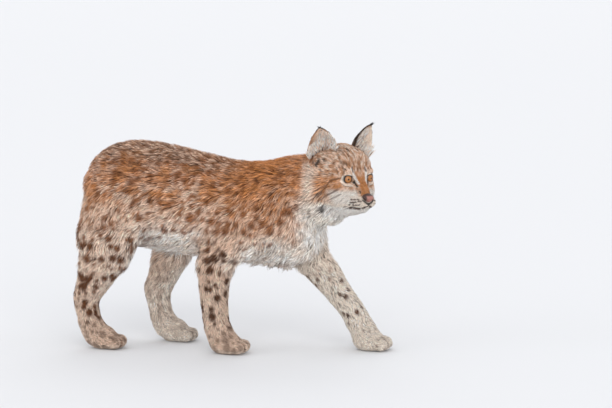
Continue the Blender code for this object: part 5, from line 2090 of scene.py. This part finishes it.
@dataclass
class Nose:
    """The bare nose pad, made smoother than the solid it stands for."""

    stand: Stand
    nodes: dict[str, bpy.types.Object]
    rounds: int = 2

    def make(self, finish: bpy.types.Material) -> bpy.types.Object:
        """Makes the nose pad.

        Args:
            finish: Its material.

        Returns:
            The object.
        """
        mesh = self.nodes["nose"].data.copy()
        mesh.name = "nose_pad"
        bm = bmesh.new()
        bm.from_mesh(mesh)
        bmesh.ops.remove_doubles(bm, verts=bm.verts, dist=0.0001)
        for _ in range(self.rounds):
            bmesh.ops.subdivide_edges(bm, edges=bm.edges, cuts=1, use_grid_fill=True, smooth=0.6)
            bmesh.ops.smooth_vert(bm, verts=bm.verts, factor=0.5, use_axis_x=True,
                                  use_axis_y=True, use_axis_z=True)
        bmesh.ops.triangulate(bm, faces=bm.faces)
        bm.verts.index_update()
        points = np.array([vert.co[:] for vert in bm.verts])
        faces = np.array([[vert.index for vert in face.verts] for face in bm.faces])
        bm.free()
        bpy.data.meshes.remove(mesh)
        head = self.stand.in_head(points)
        rim = np.maximum(smooth(np.abs(head[:, 1]), 0.0070, 0.0100),
                         smooth(head[:, 2], -0.0365, -0.0335))
        tints = mix(Tone.PINK(), Tone.BLACK(), 0.88 * rim)
        made = mesh_object("nose_pad", points, faces, tints, finish)
        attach(made, "root")
        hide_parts("nose")
        return made


@dataclass
class Studio:
    """The floor, the lights and the camera."""

    stand: Stand
    azimuth: float = math.radians(15.0)
    elevation: float = math.radians(6.0)
    distance: float = 5.0
    width: float = 612 * 0.0022
    sensor: float = 36.0
    target: tuple[float, float, float] = (0.207, 0.0, 0.329)
    floor_size: float = 200.0
    floor_tones: tuple[tuple[float, ...], ...] = (
        (0.715, 0.72, 0.73, 1), (0.755, 0.76, 0.77, 1),
    )
    surround: tuple[float, float, float, float] = (0.96, 0.97, 1.0, 1.0)
    surround_strength: float = 0.93
    lamps: tuple[tuple[str, tuple[float, float, float], float], ...] = (
        ("key", (1.1, -3.0, 1.35), 1.86),
        ("fill", (-2.4, -1.8, 0.8), 0.60),
        ("rim", (-0.6, 2.6, 2.2), 0.45),
    )
    lamp_angle: float = math.radians(50.0)
    lamp_aim: tuple[float, float, float] = (0.0, 0.0, 0.3)

    def floor(self) -> None:
        """Lays a pale floor."""
        bpy.ops.mesh.primitive_plane_add(size=self.floor_size, location=(0, 0, 0))
        plane = bpy.context.object
        plane.name = "floor"
        made = bpy.data.materials.new("floor")
        made.use_nodes = True
        nodes, links = made.node_tree.nodes, made.node_tree.links
        shader = nodes["Principled BSDF"]
        shader.inputs["Roughness"].default_value = 0.9
        noise = nodes.new("ShaderNodeTexNoise")
        noise.inputs["Scale"].default_value = 3.0
        ramp = nodes.new("ShaderNodeValToRGB")
        for element, tone in zip(ramp.color_ramp.elements, self.floor_tones):
            element.color = tone
        links.new(noise.outputs["Fac"], ramp.inputs["Fac"])
        links.new(ramp.outputs["Color"], shader.inputs["Base Color"])
        plane.data.materials.append(made)

    def lights(self) -> None:
        """Hangs soft lights and a pale surround."""
        world = bpy.data.worlds.new("surround")
        bpy.context.scene.world = world
        world.use_nodes = True
        bpy.context.scene.view_settings.view_transform = "Standard"
        back = world.node_tree.nodes["Background"]
        back.inputs["Color"].default_value = self.surround
        back.inputs["Strength"].default_value = self.surround_strength
        for name, place, power in self.lamps:
            data = bpy.data.lights.new(name, "SUN")
            data.angle = self.lamp_angle
            data.energy = power
            lamp = bpy.data.objects.new(name, data)
            lamp.location = place
            lamp.rotation_mode = "QUATERNION"
            way = Vector(self.lamp_aim) - Vector(place)
            lamp.rotation_quaternion = way.to_track_quat("-Z", "Y")
            bpy.context.scene.collection.objects.link(lamp)

    def camera(self) -> None:
        """Sets the camera at the photograph's viewing angle."""
        data = bpy.data.cameras.new("camera")
        data.sensor_width = self.sensor
        data.lens = self.sensor * self.distance / self.width
        lens = bpy.data.objects.new("camera", data)
        back = Vector((math.sin(self.azimuth) * math.cos(self.elevation),
                       -math.cos(self.azimuth) * math.cos(self.elevation),
                       math.sin(self.elevation)))
        lens.location = Vector(self.target) + Vector(self.stand.shift) + back * self.distance
        lens.rotation_mode = "QUATERNION"
        lens.rotation_quaternion = (-back).to_track_quat("-Z", "Y")
        bpy.context.scene.collection.objects.link(lens)
        bpy.context.scene.camera = lens


def main() -> None:
    """Builds the dressed lynx piece by piece."""
    logging.basicConfig(level=logging.INFO, format="%(message)s")
    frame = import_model()
    stand = Stand()
    stand.read()
    studio = Studio(stand)
    studio.floor()
    studio.lights()
    studio.camera()
    build = Build(stand)
    marks = Markings(build)
    skin = Skin(stand, build, marks)
    skin.measure(frame["nodes"])
    LOG.info("grid %s", skin.volume.values.shape)
    skin.grow()
    gloss, lid, pad = EYEBALL.build(), LID.build(), NOSE_PAD.build()
    for side in Side:
        eye = Eye(stand, side)
        eye.ball(gloss)
        eye.lids(lid)
    Nose(stand, frame["nodes"]).make(pad)
    unwrap = Unwrap(skin.surface)
    unwrap.make()
    fur = FUR.build()
    Coat(skin, unwrap, fur).grow()
    shell = EAR_SHELL.build()
    for side in Side:
        ear = Ear(stand, unwrap, side)
        ear.shell(shell)
        ear.fur(fur)
    Whiskers(skin, unwrap).grow(fur)
    Lips(skin).make(lid)


if __name__ == "__main__":
    main()
